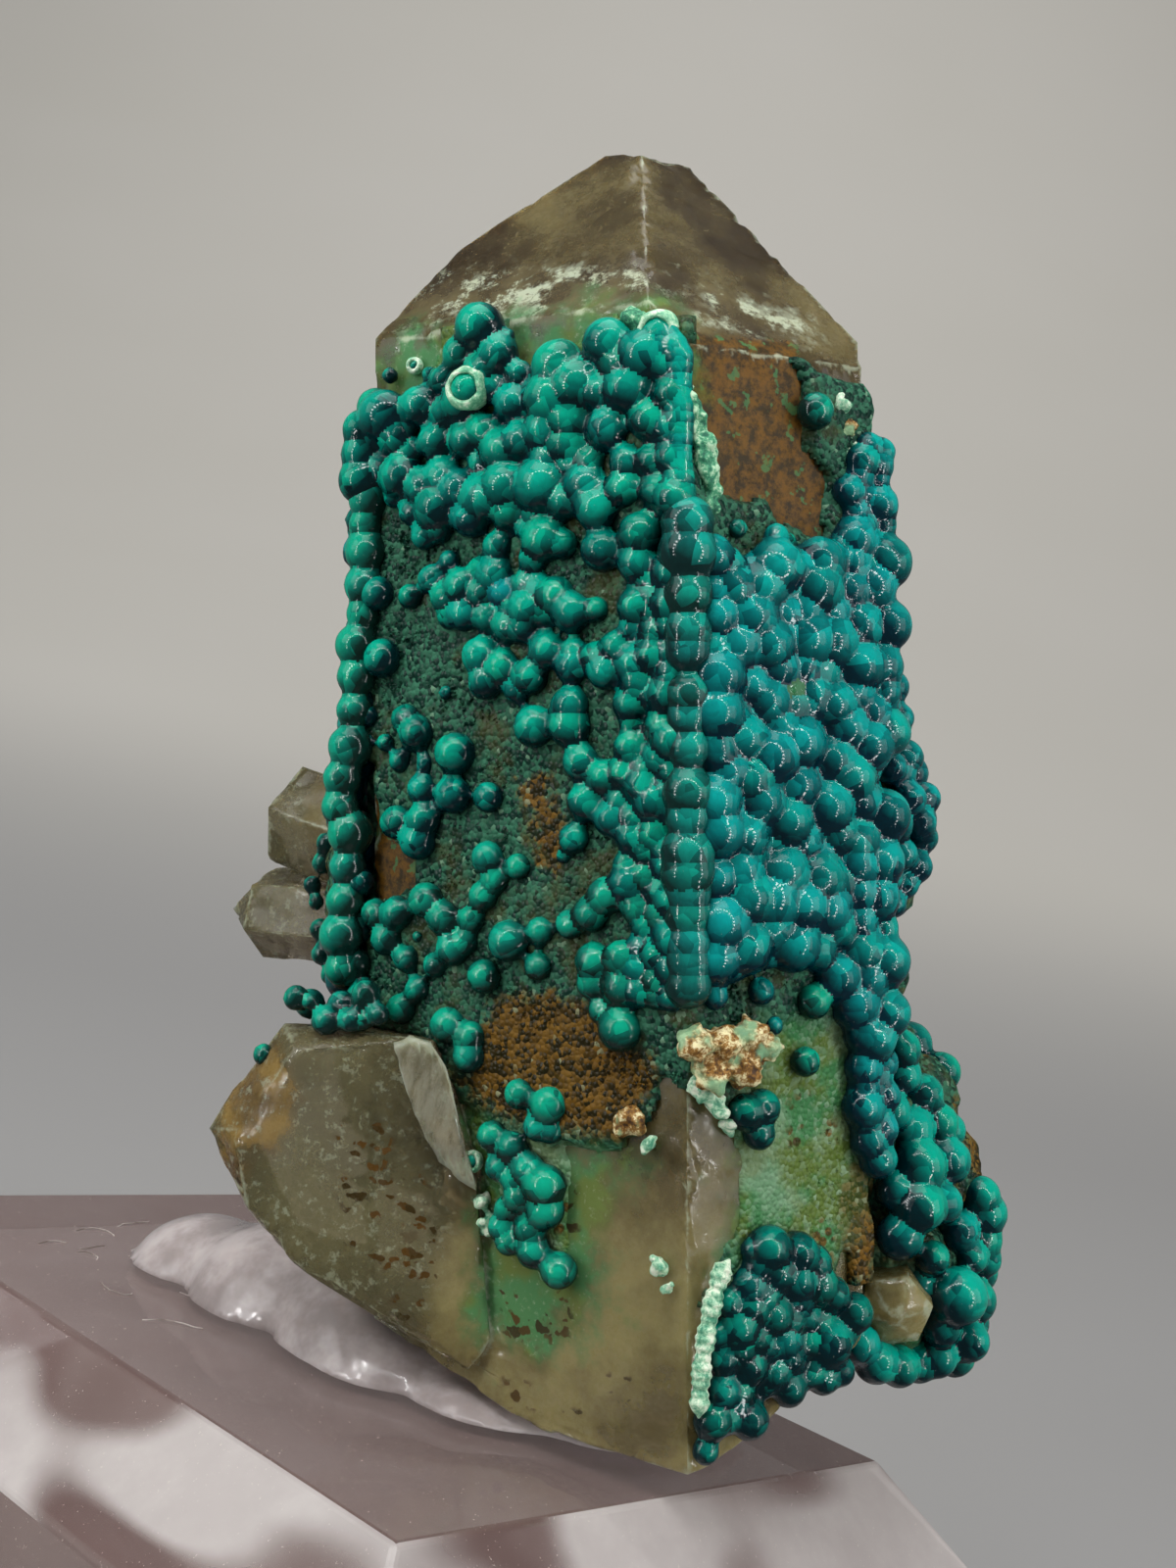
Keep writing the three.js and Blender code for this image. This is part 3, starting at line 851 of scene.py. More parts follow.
RUST_ZONES = (
    Zone(Side.FRONT_LEFT, (
        (-3.6, -7.7), (-1.4, -7.2), (0.7, -8.1), (2.7, -9.7), (2.4, -11.5), (1.4, -13.0), (-1.4, -12.9),
        (-3.6, -12.4), (-5.3, -11.1), (-4.4, -10.3),
    )),
    Zone(Side.FRONT_LEFT, ((-2.7, 0.2), (-1.4, 0.5), (-0.6, -2.2), (-0.7, -3.6), (-2.0, -2.9))),
    Zone(Side.FRONT_RIGHT, ((8.9, -14.8), (9.6, -13.8), (10.9, -13.5), (10.9, -19.0), (8.8, -18.4))),
)
GREEN_ZONES = (
    Zone(Side.FRONT_LEFT, (
        (-8.4, 16.4), (-5.8, 17.0), (-1.0, 17.0), (2.8, 17.2), (3.3, 13.8), (-8.6, 13.6),
    )),
    Zone(Side.FRONT_LEFT, (
        (-4.6, -12.2), (-1.4, -13.2), (1.4, -12.9), (0.9, -15.8), (0.5, -18.7), (-1.4, -21.0),
        (-4.6, -20.4), (-4.6, -17.0),
    )),
    Zone(Side.FRONT_RIGHT, (
        (5.3, -11.9), (6.5, -8.6), (9.1, -8.6), (10.4, -11.5), (10.4, -15.5), (8.6, -18.2), (5.2, -17.6),
        (5.0, -14.0),
    )),
)
WINDOW_ZONES = (
    Zone(Side.FRONT_RIGHT, (
        (3.5, 15.4), (7.2, 15.6), (7.4, 14.3), (7.6, 12.4), (8.5, 11.0), (8.3, 9.2), (6.9, 9.4),
        (6.6, 10.3), (4.3, 10.3), (3.8, 12.4),
    )),
    Zone(Side.FRONT_LEFT, (
        (-8.7, 0.4), (-8.1, 0.5), (-7.9, -1.9), (-6.7, -2.8), (-6.8, -3.8), (-8.9, -4.7),
    )),
)
FROST_ZONES = (
    Zone(Side.FRONT_LEFT, (
        (-8.8, 20.2), (-3.0, 20.6), (3.6, 19.4), (3.6, 16.2), (-2.0, 16.4), (-5.4, 17.0), (-8.8, 16.0),
    )),
    Zone(Side.FRONT_RIGHT, ((3.4, 19.0), (9.0, 18.0), (9.0, 15.8), (3.4, 15.4))),
)
SPOT_ZONES = (
    Zone(Side.FRONT_RIGHT, ((7.1, -11.2), (8.0, -11.2), (8.1, -13.1), (7.1, -13.2))),
    Zone(Side.FRONT_RIGHT, ((8.4, -12.2), (9.2, -12.2), (9.2, -13.3), (8.4, -13.2))),
    Zone(Side.FRONT_RIGHT, ((8.0, -15.9), (9.1, -15.9), (9.0, -17.4), (7.9, -17.2))),
    Zone(Side.FRONT_LEFT, ((-1.8, -14.4), (-0.3, -14.4), (-0.2, -16.4), (-1.8, -16.4))),
    Zone(Side.FRONT_LEFT, ((-3.4, -18.6), (-0.4, -18.4), (-0.6, -20.4), (-3.4, -20.8))),
    Zone(Side.FRONT_LEFT, ((-3.2, -21.9), (-1.9, -21.9), (-1.9, -23.0), (-3.2, -23.0))),
    Zone(Side.FRONT_LEFT, ((0.3, -20.9), (1.7, -21.1), (1.7, -22.0), (0.3, -21.9))),
    Zone(Side.FRONT_LEFT, ((-1.2, -22.6), (-0.2, -22.6), (-0.2, -23.5), (-1.2, -23.5))),
)
CLEAR_SPOTS = (
    (-9.6, -13.0), (-8.6, -11.8), (-7.8, -12.0), (-6.2, -14.2), (-5.4, -16.0), (-5.2, -21.8), (-6.6, -21.4),
    (-7.6, -18.0), (-9.2, -17.0),
)
BARE_ZONES = (
    *WINDOW_ZONES,
    Zone(Side.FRONT_RIGHT, (
        (2.5, -10.5), (3.8, -11.0), (5.3, -13.3), (5.1, -15.7), (4.8, -16.4), (3.8, -17.3), (3.0, -24.0),
        (2.0, -24.0),
    )),
)


def store_stains(mesh: Mesh, places: Array, own_spots: Array | float = -MAIN.deepest) -> None:
    """Stores how deep each vertex lies in the stained, coated and spotted areas.

    Args:
        mesh: Mesh that takes the numbers.
        places: Its vertices in the specimen's frame.
        own_spots: Depth of each vertex in spotted areas of the mesh's own.
    """
    for name, zones in (
        (Field.RUST, RUST_ZONES),
        (Field.GREEN, GREEN_ZONES),
        (Field.WINDOW, WINDOW_ZONES),
        (Field.FROST, FROST_ZONES),
    ):
        store(mesh, name, MAIN.depth_in(zones, places))
    spots = np.maximum(MAIN.depth_in(SPOT_ZONES, places), own_spots)
    store(mesh, Field.SPOTS, np.clip(spots, -MAIN.deepest, MAIN.deepest))


@dataclass(frozen=True)
class QuartzFinish:
    """Smoky translucent quartz with iron stain, frost and a thin green coat."""

    smoke: Colour = rgb(108, 98, 64)
    smoke_dark: Colour = rgb(62, 50, 30)
    grey: Colour = rgb(104, 100, 70)
    iron: Colour = rgb(108, 72, 6)
    iron_dark: Colour = rgb(42, 30, 4)
    tip: Colour = rgb(146, 116, 56)
    tip_dark: Colour = rgb(78, 50, 10)
    green: Colour = rgb(62, 124, 74)
    green_yellow: Colour = rgb(92, 112, 48)
    frost: Colour = rgb(182, 192, 166)
    foot: Colour = rgb(160, 150, 100)
    foot_dark: Colour = rgb(126, 114, 70)
    shard: Colour = rgb(172, 170, 150)
    glass: Colour = (0.93, 0.90, 0.83, 1.0)
    absorbs: Colour = (0.74, 0.64, 0.44, 1.0)
    absorption: float = 160.0

    def build(self) -> Material:
        """Makes the material.

        Returns:
            The material.
        """
        g = Graph("smoky_quartz")
        clear = g.field(Field.CLEAR)
        veils = g.clouds(0.22, 5.0, stretch=0.62)
        specks = g.clouds(3.2, 4.0, stretch=0.7)
        colour = g.mix(veils.ease(0.35, 0.68), self.smoke_dark, self.smoke)
        colour = g.mix(clear * 0.85, colour, self.grey)
        colour = g.mix(specks.ease(0.58, 0.74) * 0.32, colour, self.foot)

        edge = g.clouds(1.4, 4.0, stretch=0.65)
        frost_area = (g.field(Field.FROST) + (edge - 0.5) * 3.4).ease(0.2, 1.4)
        crust = (g.clouds(3.4, 6.0, stretch=0.78) + g.clouds(0.6, 2.0)).ease(1.00, 1.16)
        colour = g.mix(frost_area * crust * 0.75, colour, self.frost)
        foot = g.field(Field.FOOT)
        colour = g.mix(foot * 0.7, colour, g.mix(veils.ease(0.3, 0.6), self.foot_dark, self.foot))
        shard = g.field(Field.SHARD)
        cloudy = g.clouds(1.1, 5.0, at=g.vector("MULTIPLY", g.place, (1.6, 1.0, 0.5)), stretch=0.7)
        colour = g.mix(shard * (cloudy.ease(0.38, 0.64) * 0.6 + 0.25), colour, self.shard)

        window_area = (g.field(Field.WINDOW) + (edge - 0.5) * 0.8).ease(-0.7, -0.3)
        mottle = g.clouds(2.2, 6.0, stretch=0.76)
        iron = g.mix(mottle.ease(0.38, 0.62), self.iron_dark, self.iron)
        colour = g.mix(window_area * (1.0 - clear) * 0.9, colour, iron)
        flecks = g.clouds(1.3, 3.0, stretch=0.6).ease(0.60, 0.64) * window_area
        colour = g.mix(flecks * 0.6, colour, self.green)

        broad = g.clouds(0.55, 4.0, stretch=0.6)
        green_area = (g.field(Field.GREEN) + (edge - 0.5) * 2.6 + (broad - 0.5) * 5.0).ease(-1.0, 1.0)
        sugar = g.clouds(5.0, 3.0, stretch=0.7)
        green = g.mix(g.clouds(0.5, 3.0).ease(0.42, 0.62), self.green, self.green_yellow)
        green = g.mix(sugar.ease(0.55, 0.8) * 0.5, green, self.frost)
        colour = g.mix(green_area * 0.9, colour, green)

        tip_area = (g.field(Field.TIP) + (edge - 0.5) * 1.6).ease(0.0, 0.8)
        smear = g.clouds(0.6, 4.0, stretch=0.6).ease(0.40, 0.66)
        colour = g.mix(tip_area * 0.7, colour, g.mix(smear, self.tip, self.tip_dark))
        wisps = g.clouds(2.4, 6.0, stretch=0.75).ease(0.54, 0.62) * clear
        colour = g.mix(wisps * 0.38, colour, self.frost)
        wander = g.node("ShaderNodeTexNoise", {}, {"Vector": g.place, "Scale": 1.6}).outputs["Color"]
        flattened = g.vector("MULTIPLY", g.place, (0.62, 0.8, 1.0))
        distance, cell = g.cells(2.1, at=g.vector("ADD", flattened, g.vector("SCALE", wander, Scale=0.9)))
        pick, shade, uneven = g.channels(cell)
        spot_area = (g.field(Field.SPOTS) + (edge - 0.5) * 1.2).ease(-0.1, 0.3)
        spots = (1.0 - (distance + uneven * 0.22).ease(0.42, 0.52)) * spot_area * pick.ease(0.22, 0.26)
        colour = g.mix(spots * 0.92, colour, g.mix(shade, self.iron_dark, self.tip_dark))
        wear = g.field(Field.WEAR)
        colour = g.mix((wear * (edge + shard * 0.5)).ease(0.38, 0.62) * 0.65, colour, self.frost)

        relief = g.clouds(0.9, 6.0, stretch=0.55) * 0.7 + specks * 0.3
        normal = g.bump(relief, 0.05, 0.5)
        rough = 0.26 + specks.ease(0.45, 0.8) * 0.25 + green_area * 0.35
        rough = rough + frost_area * 0.2 + window_area * 0.3
        body = g.surface(
            Base_Color=colour, Roughness=rough, Normal=normal, IOR=1.544, Specular_IOR_Level=0.22,
            Subsurface_Weight=0.3, Subsurface_Radius=(0.0030, 0.0022, 0.0013), Subsurface_Scale=1.0,
        )
        glass = g.surface(
            Base_Color=self.glass, Roughness=0.06, Normal=normal, IOR=1.544, Transmission_Weight=1.0
        )
        haze = veils.ease(0.30, 0.72) * 0.30 + 0.55 - clear * 0.10
        cover = haze.most(green_area).most(window_area).most(frost_area * crust)
        cover = cover.most(tip_area * 0.8).most(spots).least(1.0)
        return g.close(g.blend(cover, glass, body), self.absorbs, self.absorption)


@dataclass(frozen=True)
class BallFinish:
    """Glossy chrysocolla balls in straight-edged wedges of painted sheen, painted lighter towards each ball's
    lit side and darker in the creases between balls.
    """

    deep: Colour = rgb(0, 30, 32)
    middle: Colour = rgb(0, 93, 82)
    light: Colour = rgb(2, 157, 126)
    blue_deep: Colour = rgb(0, 36, 48)
    blue_middle: Colour = rgb(0, 90, 92)
    blue_light: Colour = rgb(6, 146, 142)
    warm: Colour = rgb(52, 84, 18)
    dust: Colour = rgb(190, 214, 198)
    wedges: float = 1.25
    shift: float = 7.3

    def build(self) -> Material:
        """Makes the material.

        Returns:
            The material.
        """
        g = Graph("chrysocolla_balls")
        centre = g.vector("SCALE", g.directions(Field.CENTRE), Scale=1.0 / MM)
        outward = g.vector("NORMALIZE", g.vector("SUBTRACT", g.place, centre))
        own_place = g.vector("ADD", outward, g.vector("SCALE", centre, Scale=self.shift))
        # Wedges of random tone in each ball: its fibre sectors, their light and dark a painted silky sheen.
        tone = g.channels(g.cells(self.wedges, at=own_place)[1])[0]
        # Painted light and shade: how far each point faces its ball's lit side, which lightens the tops and
        # darkens the creases.
        painted_light = Signal(g, g.vector("DOT_PRODUCT", outward, g.directions(Field.CAP)))
        tone = tone * 0.42 + painted_light * 0.80 + g.field(Field.SHADE) * 0.14 - 0.24
        tone = tone + (g.clouds(2.2, 3.0, at=own_place, stretch=0.6) - 0.5) * 0.25
        # Each ramp runs from a dark to a light colour: the dark end carries the painted shade of the creases,
        # the light end the painted light of the tops.
        green = g.ramp(tone, [(0.14, self.deep), (0.46, self.middle), (0.86, self.light)])
        blue = g.ramp(tone, [(0.14, self.blue_deep), (0.46, self.blue_middle), (0.86, self.blue_light)])
        colour = g.mix(g.field(Field.TINT), green, blue)
        colour = g.mix(g.field(Field.WARMTH), colour, self.warm)
        dust = g.clouds(4.0, 4.0, stretch=0.75).ease(0.66, 0.76)
        colour = g.mix(dust * 0.18, colour, self.dust)
        ridge = g.cells(self.wedges, "DISTANCE_TO_EDGE", at=own_place)[0].ease(0.0, 0.22)
        relief = g.clouds(2.6, 4.0, stretch=0.6) * 0.6 + ridge * 0.4
        shader = g.surface(
            Base_Color=colour, Roughness=0.13 + dust * 0.3, IOR=1.45, Specular_IOR_Level=0.08,
            Coat_Weight=0.42, Coat_Roughness=0.05, Normal=g.bump(relief, 0.06, 0.55),
            Subsurface_Weight=0.15, Subsurface_Radius=(0.0001, 0.0004, 0.0003), Subsurface_Scale=1.0,
        )
        return g.close(shader)


@dataclass(frozen=True)
class DruseFinish:
    """Fine druse between the balls, rusty and pale green in places, its sparkle painted as pale glints on a
    few grains.
    """

    dark: Colour = rgb(8, 46, 36)
    light: Colour = rgb(50, 108, 82)
    earth: Colour = rgb(66, 68, 32)
    rust: Colour = rgb(112, 76, 6)
    rust_dark: Colour = rgb(36, 28, 2)
    green: Colour = rgb(62, 122, 72)
    green_yellow: Colour = rgb(88, 110, 46)
    pale: Colour = rgb(150, 180, 150)

    def build(self) -> Material:
        """Makes the material.

        Returns:
            The material.
        """
        g = Graph("druse")
        gap, cell = g.cells(5.5)
        pick = g.channels(cell)[0]
        blotch = g.clouds(0.5, 4.0, stretch=0.6)
        colour = g.mix(pick.ease(0.2, 0.95), self.dark, self.light)
        colour = g.mix(blotch.ease(0.48, 0.66) * 0.65, colour, self.earth)
        edge = g.clouds(1.3, 4.0, stretch=0.65)
        rust_area = (g.field(Field.RUST) + (edge - 0.5) * 2.6).ease(-0.1, 0.6)
        rust = g.mix(pick.ease(0.15, 0.9), self.rust_dark, self.rust)
        colour = g.mix(rust_area * 0.92, colour, rust)
        green_area = (g.field(Field.GREEN) + (edge - 0.5) * 2.0).ease(-0.6, 0.6)
        green = g.mix(blotch.ease(0.42, 0.60), self.green, self.green_yellow)
        green = g.mix(pick.ease(0.5, 1.0) * 0.35, green, self.pale)
        green = g.mix(g.clouds(0.35, 3.0).ease(0.48, 0.62) * 0.35, green, self.pale)
        colour = g.mix(green_area * (1.0 - rust_area * 0.6), colour, green)
        spot_area = (g.field(Field.SPOTS) + (edge - 0.5) * 1.2).ease(-0.1, 0.3)
        spots = (1.0 - g.cells(2.2)[0].ease(0.34, 0.46)) * spot_area
        colour = g.mix(spots * 0.9, colour, g.mix(pick, self.rust_dark, self.rust))
        # Painted glints: the brightest few grains are painted pale.
        colour = g.mix(pick.ease(0.97, 0.99) * 0.35, colour, self.pale)
        shader = g.surface(
            Base_Color=colour, Roughness=0.32 + pick * 0.35, IOR=1.55, Specular_IOR_Level=0.18,
            Normal=g.bump(1.0 - gap, 0.09, 0.9),
        )
        return g.close(shader)


class CrumbTone(Enum):
    """Kinds of dull crumb, by the colours that they run through."""

    OCHRE = ("ochre_crumb", rgb(66, 38, 4), rgb(150, 104, 24), rgb(234, 224, 176))
    MINT = ("mint_shell", rgb(16, 96, 72), rgb(70, 160, 116), rgb(190, 226, 190))
    LIP = ("pale_shell", rgb(84, 166, 128), rgb(150, 208, 168), rgb(224, 240, 214))
    WHITE = ("white_crumb", rgb(60, 140, 108), rgb(150, 200, 164), rgb(226, 238, 214))


@dataclass(frozen=True)
class CrumbFinish:
    """Dull porous crumbs and broken shell edges."""

    tone: CrumbTone
    film: Colour = rgb(132, 186, 142)

    def build(self) -> Material:
        """Makes the material.

        Returns:
            The material.
        """
        name, dark, middle, pale = self.tone.value
        g = Graph(name)
        pores = g.clouds(2.0, 6.0, stretch=0.74)
        grit = g.clouds(6.0, 3.0, stretch=0.7)
        # Dark in the low pits and pale on the high grains of the bump's own relief: the crumb's mottle, with
        # painted shade in the pits and painted light on the tops.
        colour = g.ramp(pores * 0.75 + grit * 0.25, [(0.42, dark), (0.50, middle), (0.57, pale)])
        if self.tone is CrumbTone.OCHRE:
            film = g.clouds(0.9, 3.0, at=g.vector("ADD", g.place, (4.0, 2.0, 7.0))).ease(0.50, 0.64)
            colour = g.mix(film * 0.8, colour, self.film)
        shader = g.surface(
            Base_Color=colour, Roughness=0.42 + grit * 0.4, IOR=1.5,
            Normal=g.bump(pores + grit * 0.4, 0.12, 0.8),
            Subsurface_Weight=0.12, Subsurface_Radius=(0.0003, 0.0004, 0.0003), Subsurface_Scale=1.0,
        )
        return g.close(shader)


@dataclass(frozen=True)
class PuttyFinish:
    """Milky, softly glossy tack."""

    milk: Colour = rgb(208, 198, 196)
    shadow: Colour = rgb(178, 166, 164)
    lint: Colour = rgb(150, 140, 132)
    clear: Colour = (0.95, 0.94, 0.94, 1.0)

    def build(self) -> Material:
        """Makes the material.

        Returns:
            The material.
        """
        g = Graph("clear_putty")
        swirl = g.clouds(0.35, 4.0, stretch=0.6)
        lint = g.clouds(4.5, 5.0, stretch=0.75).ease(0.64, 0.74)
        colour = g.mix(swirl.ease(0.35, 0.65), self.shadow, self.milk)
        colour = g.mix(lint * 0.25, colour, self.lint)
        normal = g.bump(swirl * 0.8 + lint * 0.2, 0.18, 0.35)
        milky = g.surface(
            Base_Color=colour, Roughness=0.22 + lint * 0.3, IOR=1.45, Coat_Weight=0.6, Coat_Roughness=0.1,
            Normal=normal, Subsurface_Weight=0.5, Subsurface_Radius=(0.002, 0.0018, 0.0017),
            Subsurface_Scale=1.0,
        )
        see_through = g.surface(
            Base_Color=self.clear, Roughness=0.16, IOR=1.45, Transmission_Weight=1.0, Normal=normal
        )
        return g.close(g.blend(swirl.ease(0.3, 0.7) * 0.18 + 0.58, see_through, milky))


@dataclass(frozen=True)
class AcrylicFinish:
    """Clear polished acrylic with hairline scratches and settled dust, and painted reflections on its bevels
    and top.
    """

    # Pinkish-brown colour of the top's haze: settled dust and a painted reflection of the surroundings.
    dust: Colour = rgb(116, 97, 93)
    bevel_dark_reflection: Colour = rgb(104, 82, 78)
    bevel_bright_reflection: Colour = rgb(214, 208, 205)
    motes: Colour = rgb(190, 180, 172)
    clear: Colour = (0.90, 0.85, 0.85, 1.0)

    def build(self) -> Material:
        """Makes the material.

        Returns:
            The material.
        """
        g = Graph("clear_acrylic")
        hairlines = g.clouds(1.2, 3.0, at=g.vector("MULTIPLY", g.place, (6.0, 0.5, 1.0)), stretch=0.8)
        bevel = g.field(Field.BEVEL)
        blotches = g.clouds(1.0, 0.0, at=g.vector("MULTIPLY", g.place, (0.15, 0.15, 0.36)))
        # Painted reflection: the bevels get light and dark streaks, brighter towards +x.
        bevel_reflection_mask = (blotches + g.axis("X").ease(-14.0, 8.0) * 0.26 - 0.12).ease(0.38, 0.62) * bevel
        motes = g.clouds(7.0, 3.0, stretch=0.75).ease(0.66, 0.72)
        smear = g.clouds(0.25, 4.0, stretch=0.6)
        normal = g.bump(hairlines, 0.006, 0.5)
        clear = g.surface(
            Base_Color=self.clear, Roughness=0.015 + smear.ease(0.5, 0.8) * 0.05, IOR=1.49,
            Transmission_Weight=1.0, Normal=normal,
        )
        haze = g.mix(bevel, self.dust, g.mix(bevel_reflection_mask, self.bevel_dark_reflection, self.bevel_bright_reflection))
        haze = g.mix(motes, haze, self.motes)
        # A diffuse layer over the whole block: settled dust, painted reflection on the top and painted
        # streaks on the bevels.
        dust_and_reflection_layer = g.surface(Base_Color=haze, Roughness=0.55, IOR=1.45)
        share = motes * 0.4 + smear.ease(0.3, 0.8) * 0.12 + 0.42 + bevel * 0.06
        return g.close(g.blend(share, clear, dust_and_reflection_layer))


@dataclass(frozen=True)
class LintFinish:
    """Pale cotton lint."""

    fibre: Colour = rgb(198, 190, 184)
    shade: Colour = rgb(120, 108, 100)

    def build(self) -> Material:
        """Makes the material.

        Returns:
            The material.
        """
        g = Graph("lint")
        colour = g.mix(g.clouds(0.8, 3.0).ease(0.4, 0.6), self.fibre, self.shade)
        return g.close(g.surface(Base_Color=colour, Roughness=0.8, Normal=g.bump(g.clouds(9.0, 2.0), 0.01)))


@dataclass
class Quartz:
    """Every crystal of the cluster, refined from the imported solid."""

    longest_edge: float = 0.6
    sharp_angle: float = math.radians(16.0)
    chip_depth: float = 0.26
    hillock_height: float = 0.035
    clear_limit_x: float = -4.1
    clear_top: float = -8.8
    small_clear: float = 0.8
    tip: Spot = (-12.6, -4.4, -11.8)
    tip_reach: float = 2.1
    corner: Spot = (-13.6, -4.0, -14.2)
    corner_reach: float = 1.3
    spotted_rim: Spot = (-13.0, -4.4, -14.6)
    rim_reach: float = 0.9
    shard_low: Spot = (-7.4, -math.inf, -15.2)
    shard_high: Spot = (-4.0, -5.95, -9.0)
    foot_heights: tuple[float, float] = (-9.0, -20.5)

    def build(self) -> Pieces:
        """Builds and dresses the cluster.

        Returns:
            The pieces, in order.
        """
        mesh = self.refined()
        places = coordinates(mesh)
        wear = self.edge_wear(mesh)
        chips, hillocks = Turbulence(11), Turbulence(12)
        chip = smooth_step(chips.at(places, 0.9) + 0.5 * chips.at(places, 0.35), -0.1, 0.9)
        rise = self.hillock_height * hillocks.at(places * np.array([1.0, 1.0, 2.6]), 1.6) * (1.0 - wear)
        push_out(mesh, rise - wear * chip * self.chip_depth)
        self.store_fields(mesh, places, wear)
        finish = QuartzFinish().build()
        return [add_piece("quartz_cluster", mesh, finish, "smoky_quartz", ["quartz_crystals"])]

    def refined(self) -> Mesh:
        """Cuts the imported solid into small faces.

        Returns:
            The mesh, in the specimen's frame.
        """
        bm = bmesh.new()
        bm.from_mesh(frame["nodes"]["quartz_crystals"].data)
        bm.transform(PLACE.inverted())
        bmesh.ops.remove_doubles(bm, verts=bm.verts, dist=1e-3)
        bmesh.ops.triangulate(bm, faces=bm.faces)
        places = np.array([vertex.co for vertex in bm.verts])
        faces = np.array([[vertex.index for vertex in face.verts] for face in bm.faces])
        bm.free()
        places, faces = split_long_edges(places, faces, self.longest_edge)
        return mesh_of("quartz_cluster", places, faces.tolist())

    def edge_wear(self, mesh: Mesh) -> Array:
        """Finds how near each vertex is to a sharp edge.

        Args:
            mesh: Refined cluster, in the specimen's frame.

        Returns:
            One on a sharp edge, falling to zero about three small faces away.
        """
        bm = bmesh.new()
        bm.from_mesh(mesh)
        wear = np.zeros(len(bm.verts))
        for edge in bm.edges:
            if edge.calc_face_angle(0.0) > self.sharp_angle:
                wear[[edge.verts[0].index, edge.verts[1].index]] = 1.0
        ends = np.array([(edge.verts[0].index, edge.verts[1].index) for edge in bm.edges])
        bm.free()
        for _ in range(2):
            near = wear.copy()
            np.maximum.at(near, ends[:, 0], wear[ends[:, 1]] * 0.5)
            np.maximum.at(near, ends[:, 1], wear[ends[:, 0]] * 0.5)
            wear = near
        return wear

    def store_fields(self, mesh: Mesh, places: Array, wear: Array) -> None:
        """Stores the numbers that the finish reads.

        Args:
            mesh: Refined cluster.
            places: Its vertices before chipping.
            wear: Nearness to sharp edges.
        """
        x, y, z = places.T
        left = smooth_step(-x + 0.25 * (z + 12.0), -self.clear_limit_x - 0.8, -self.clear_limit_x + 0.6)
        clear = left * smooth_step(-z, -self.clear_top - 0.6, -self.clear_top + 0.4)
        clear = np.maximum(clear, self.small_clear * smooth_step(-x, 11.4, 12.4) * (y > 2.0))
        shard = ((places > self.shard_low) & (places < self.shard_high)).all(axis=1)
        tip = self.tip_reach - np.linalg.norm((places - self.tip) * (0.9, 0.6, 0.8), axis=1)
        corner = self.corner_reach - np.linalg.norm((places - self.corner) * (1.0, 0.6, 0.6), axis=1)
        rim = self.rim_reach - np.linalg.norm(places - self.spotted_rim, axis=1)
        top, low = self.foot_heights
        store(mesh, Field.CLEAR, clear)
        store(mesh, Field.SHARD, shard)
        store(mesh, Field.TIP, np.clip(np.maximum(tip, corner), -MAIN.deepest, MAIN.deepest))
        store(mesh, Field.WEAR, wear)
        store(mesh, Field.FOOT, smooth_step(-z, -top, -low) * (1.0 - clear))
        spotted = np.maximum(depth_inside(places[:, [0, 2]], CLEAR_SPOTS), rim)
        store_stains(mesh, places, np.where(clear > 0.5, spotted, -MAIN.deepest))


def ragged_cover(zones: Sequence[Zone], base: Array) -> Array:
    """Measures how far points on the prism lie inside the covered areas, with uneven edges.

    Args:
        zones: Covered areas.
        base: Points on the quartz.

    Returns:
        Distance inside, negative outside.
    """
    ragged = Turbulence(21)
    cover = np.minimum(MAIN.depth_in(zones, base, 0.2), -MAIN.depth_in(BARE_ZONES, base, 0.2))
    return cover + 0.30 * ragged.at(base, 1.1) + 0.14 * ragged.at(base, 0.4)


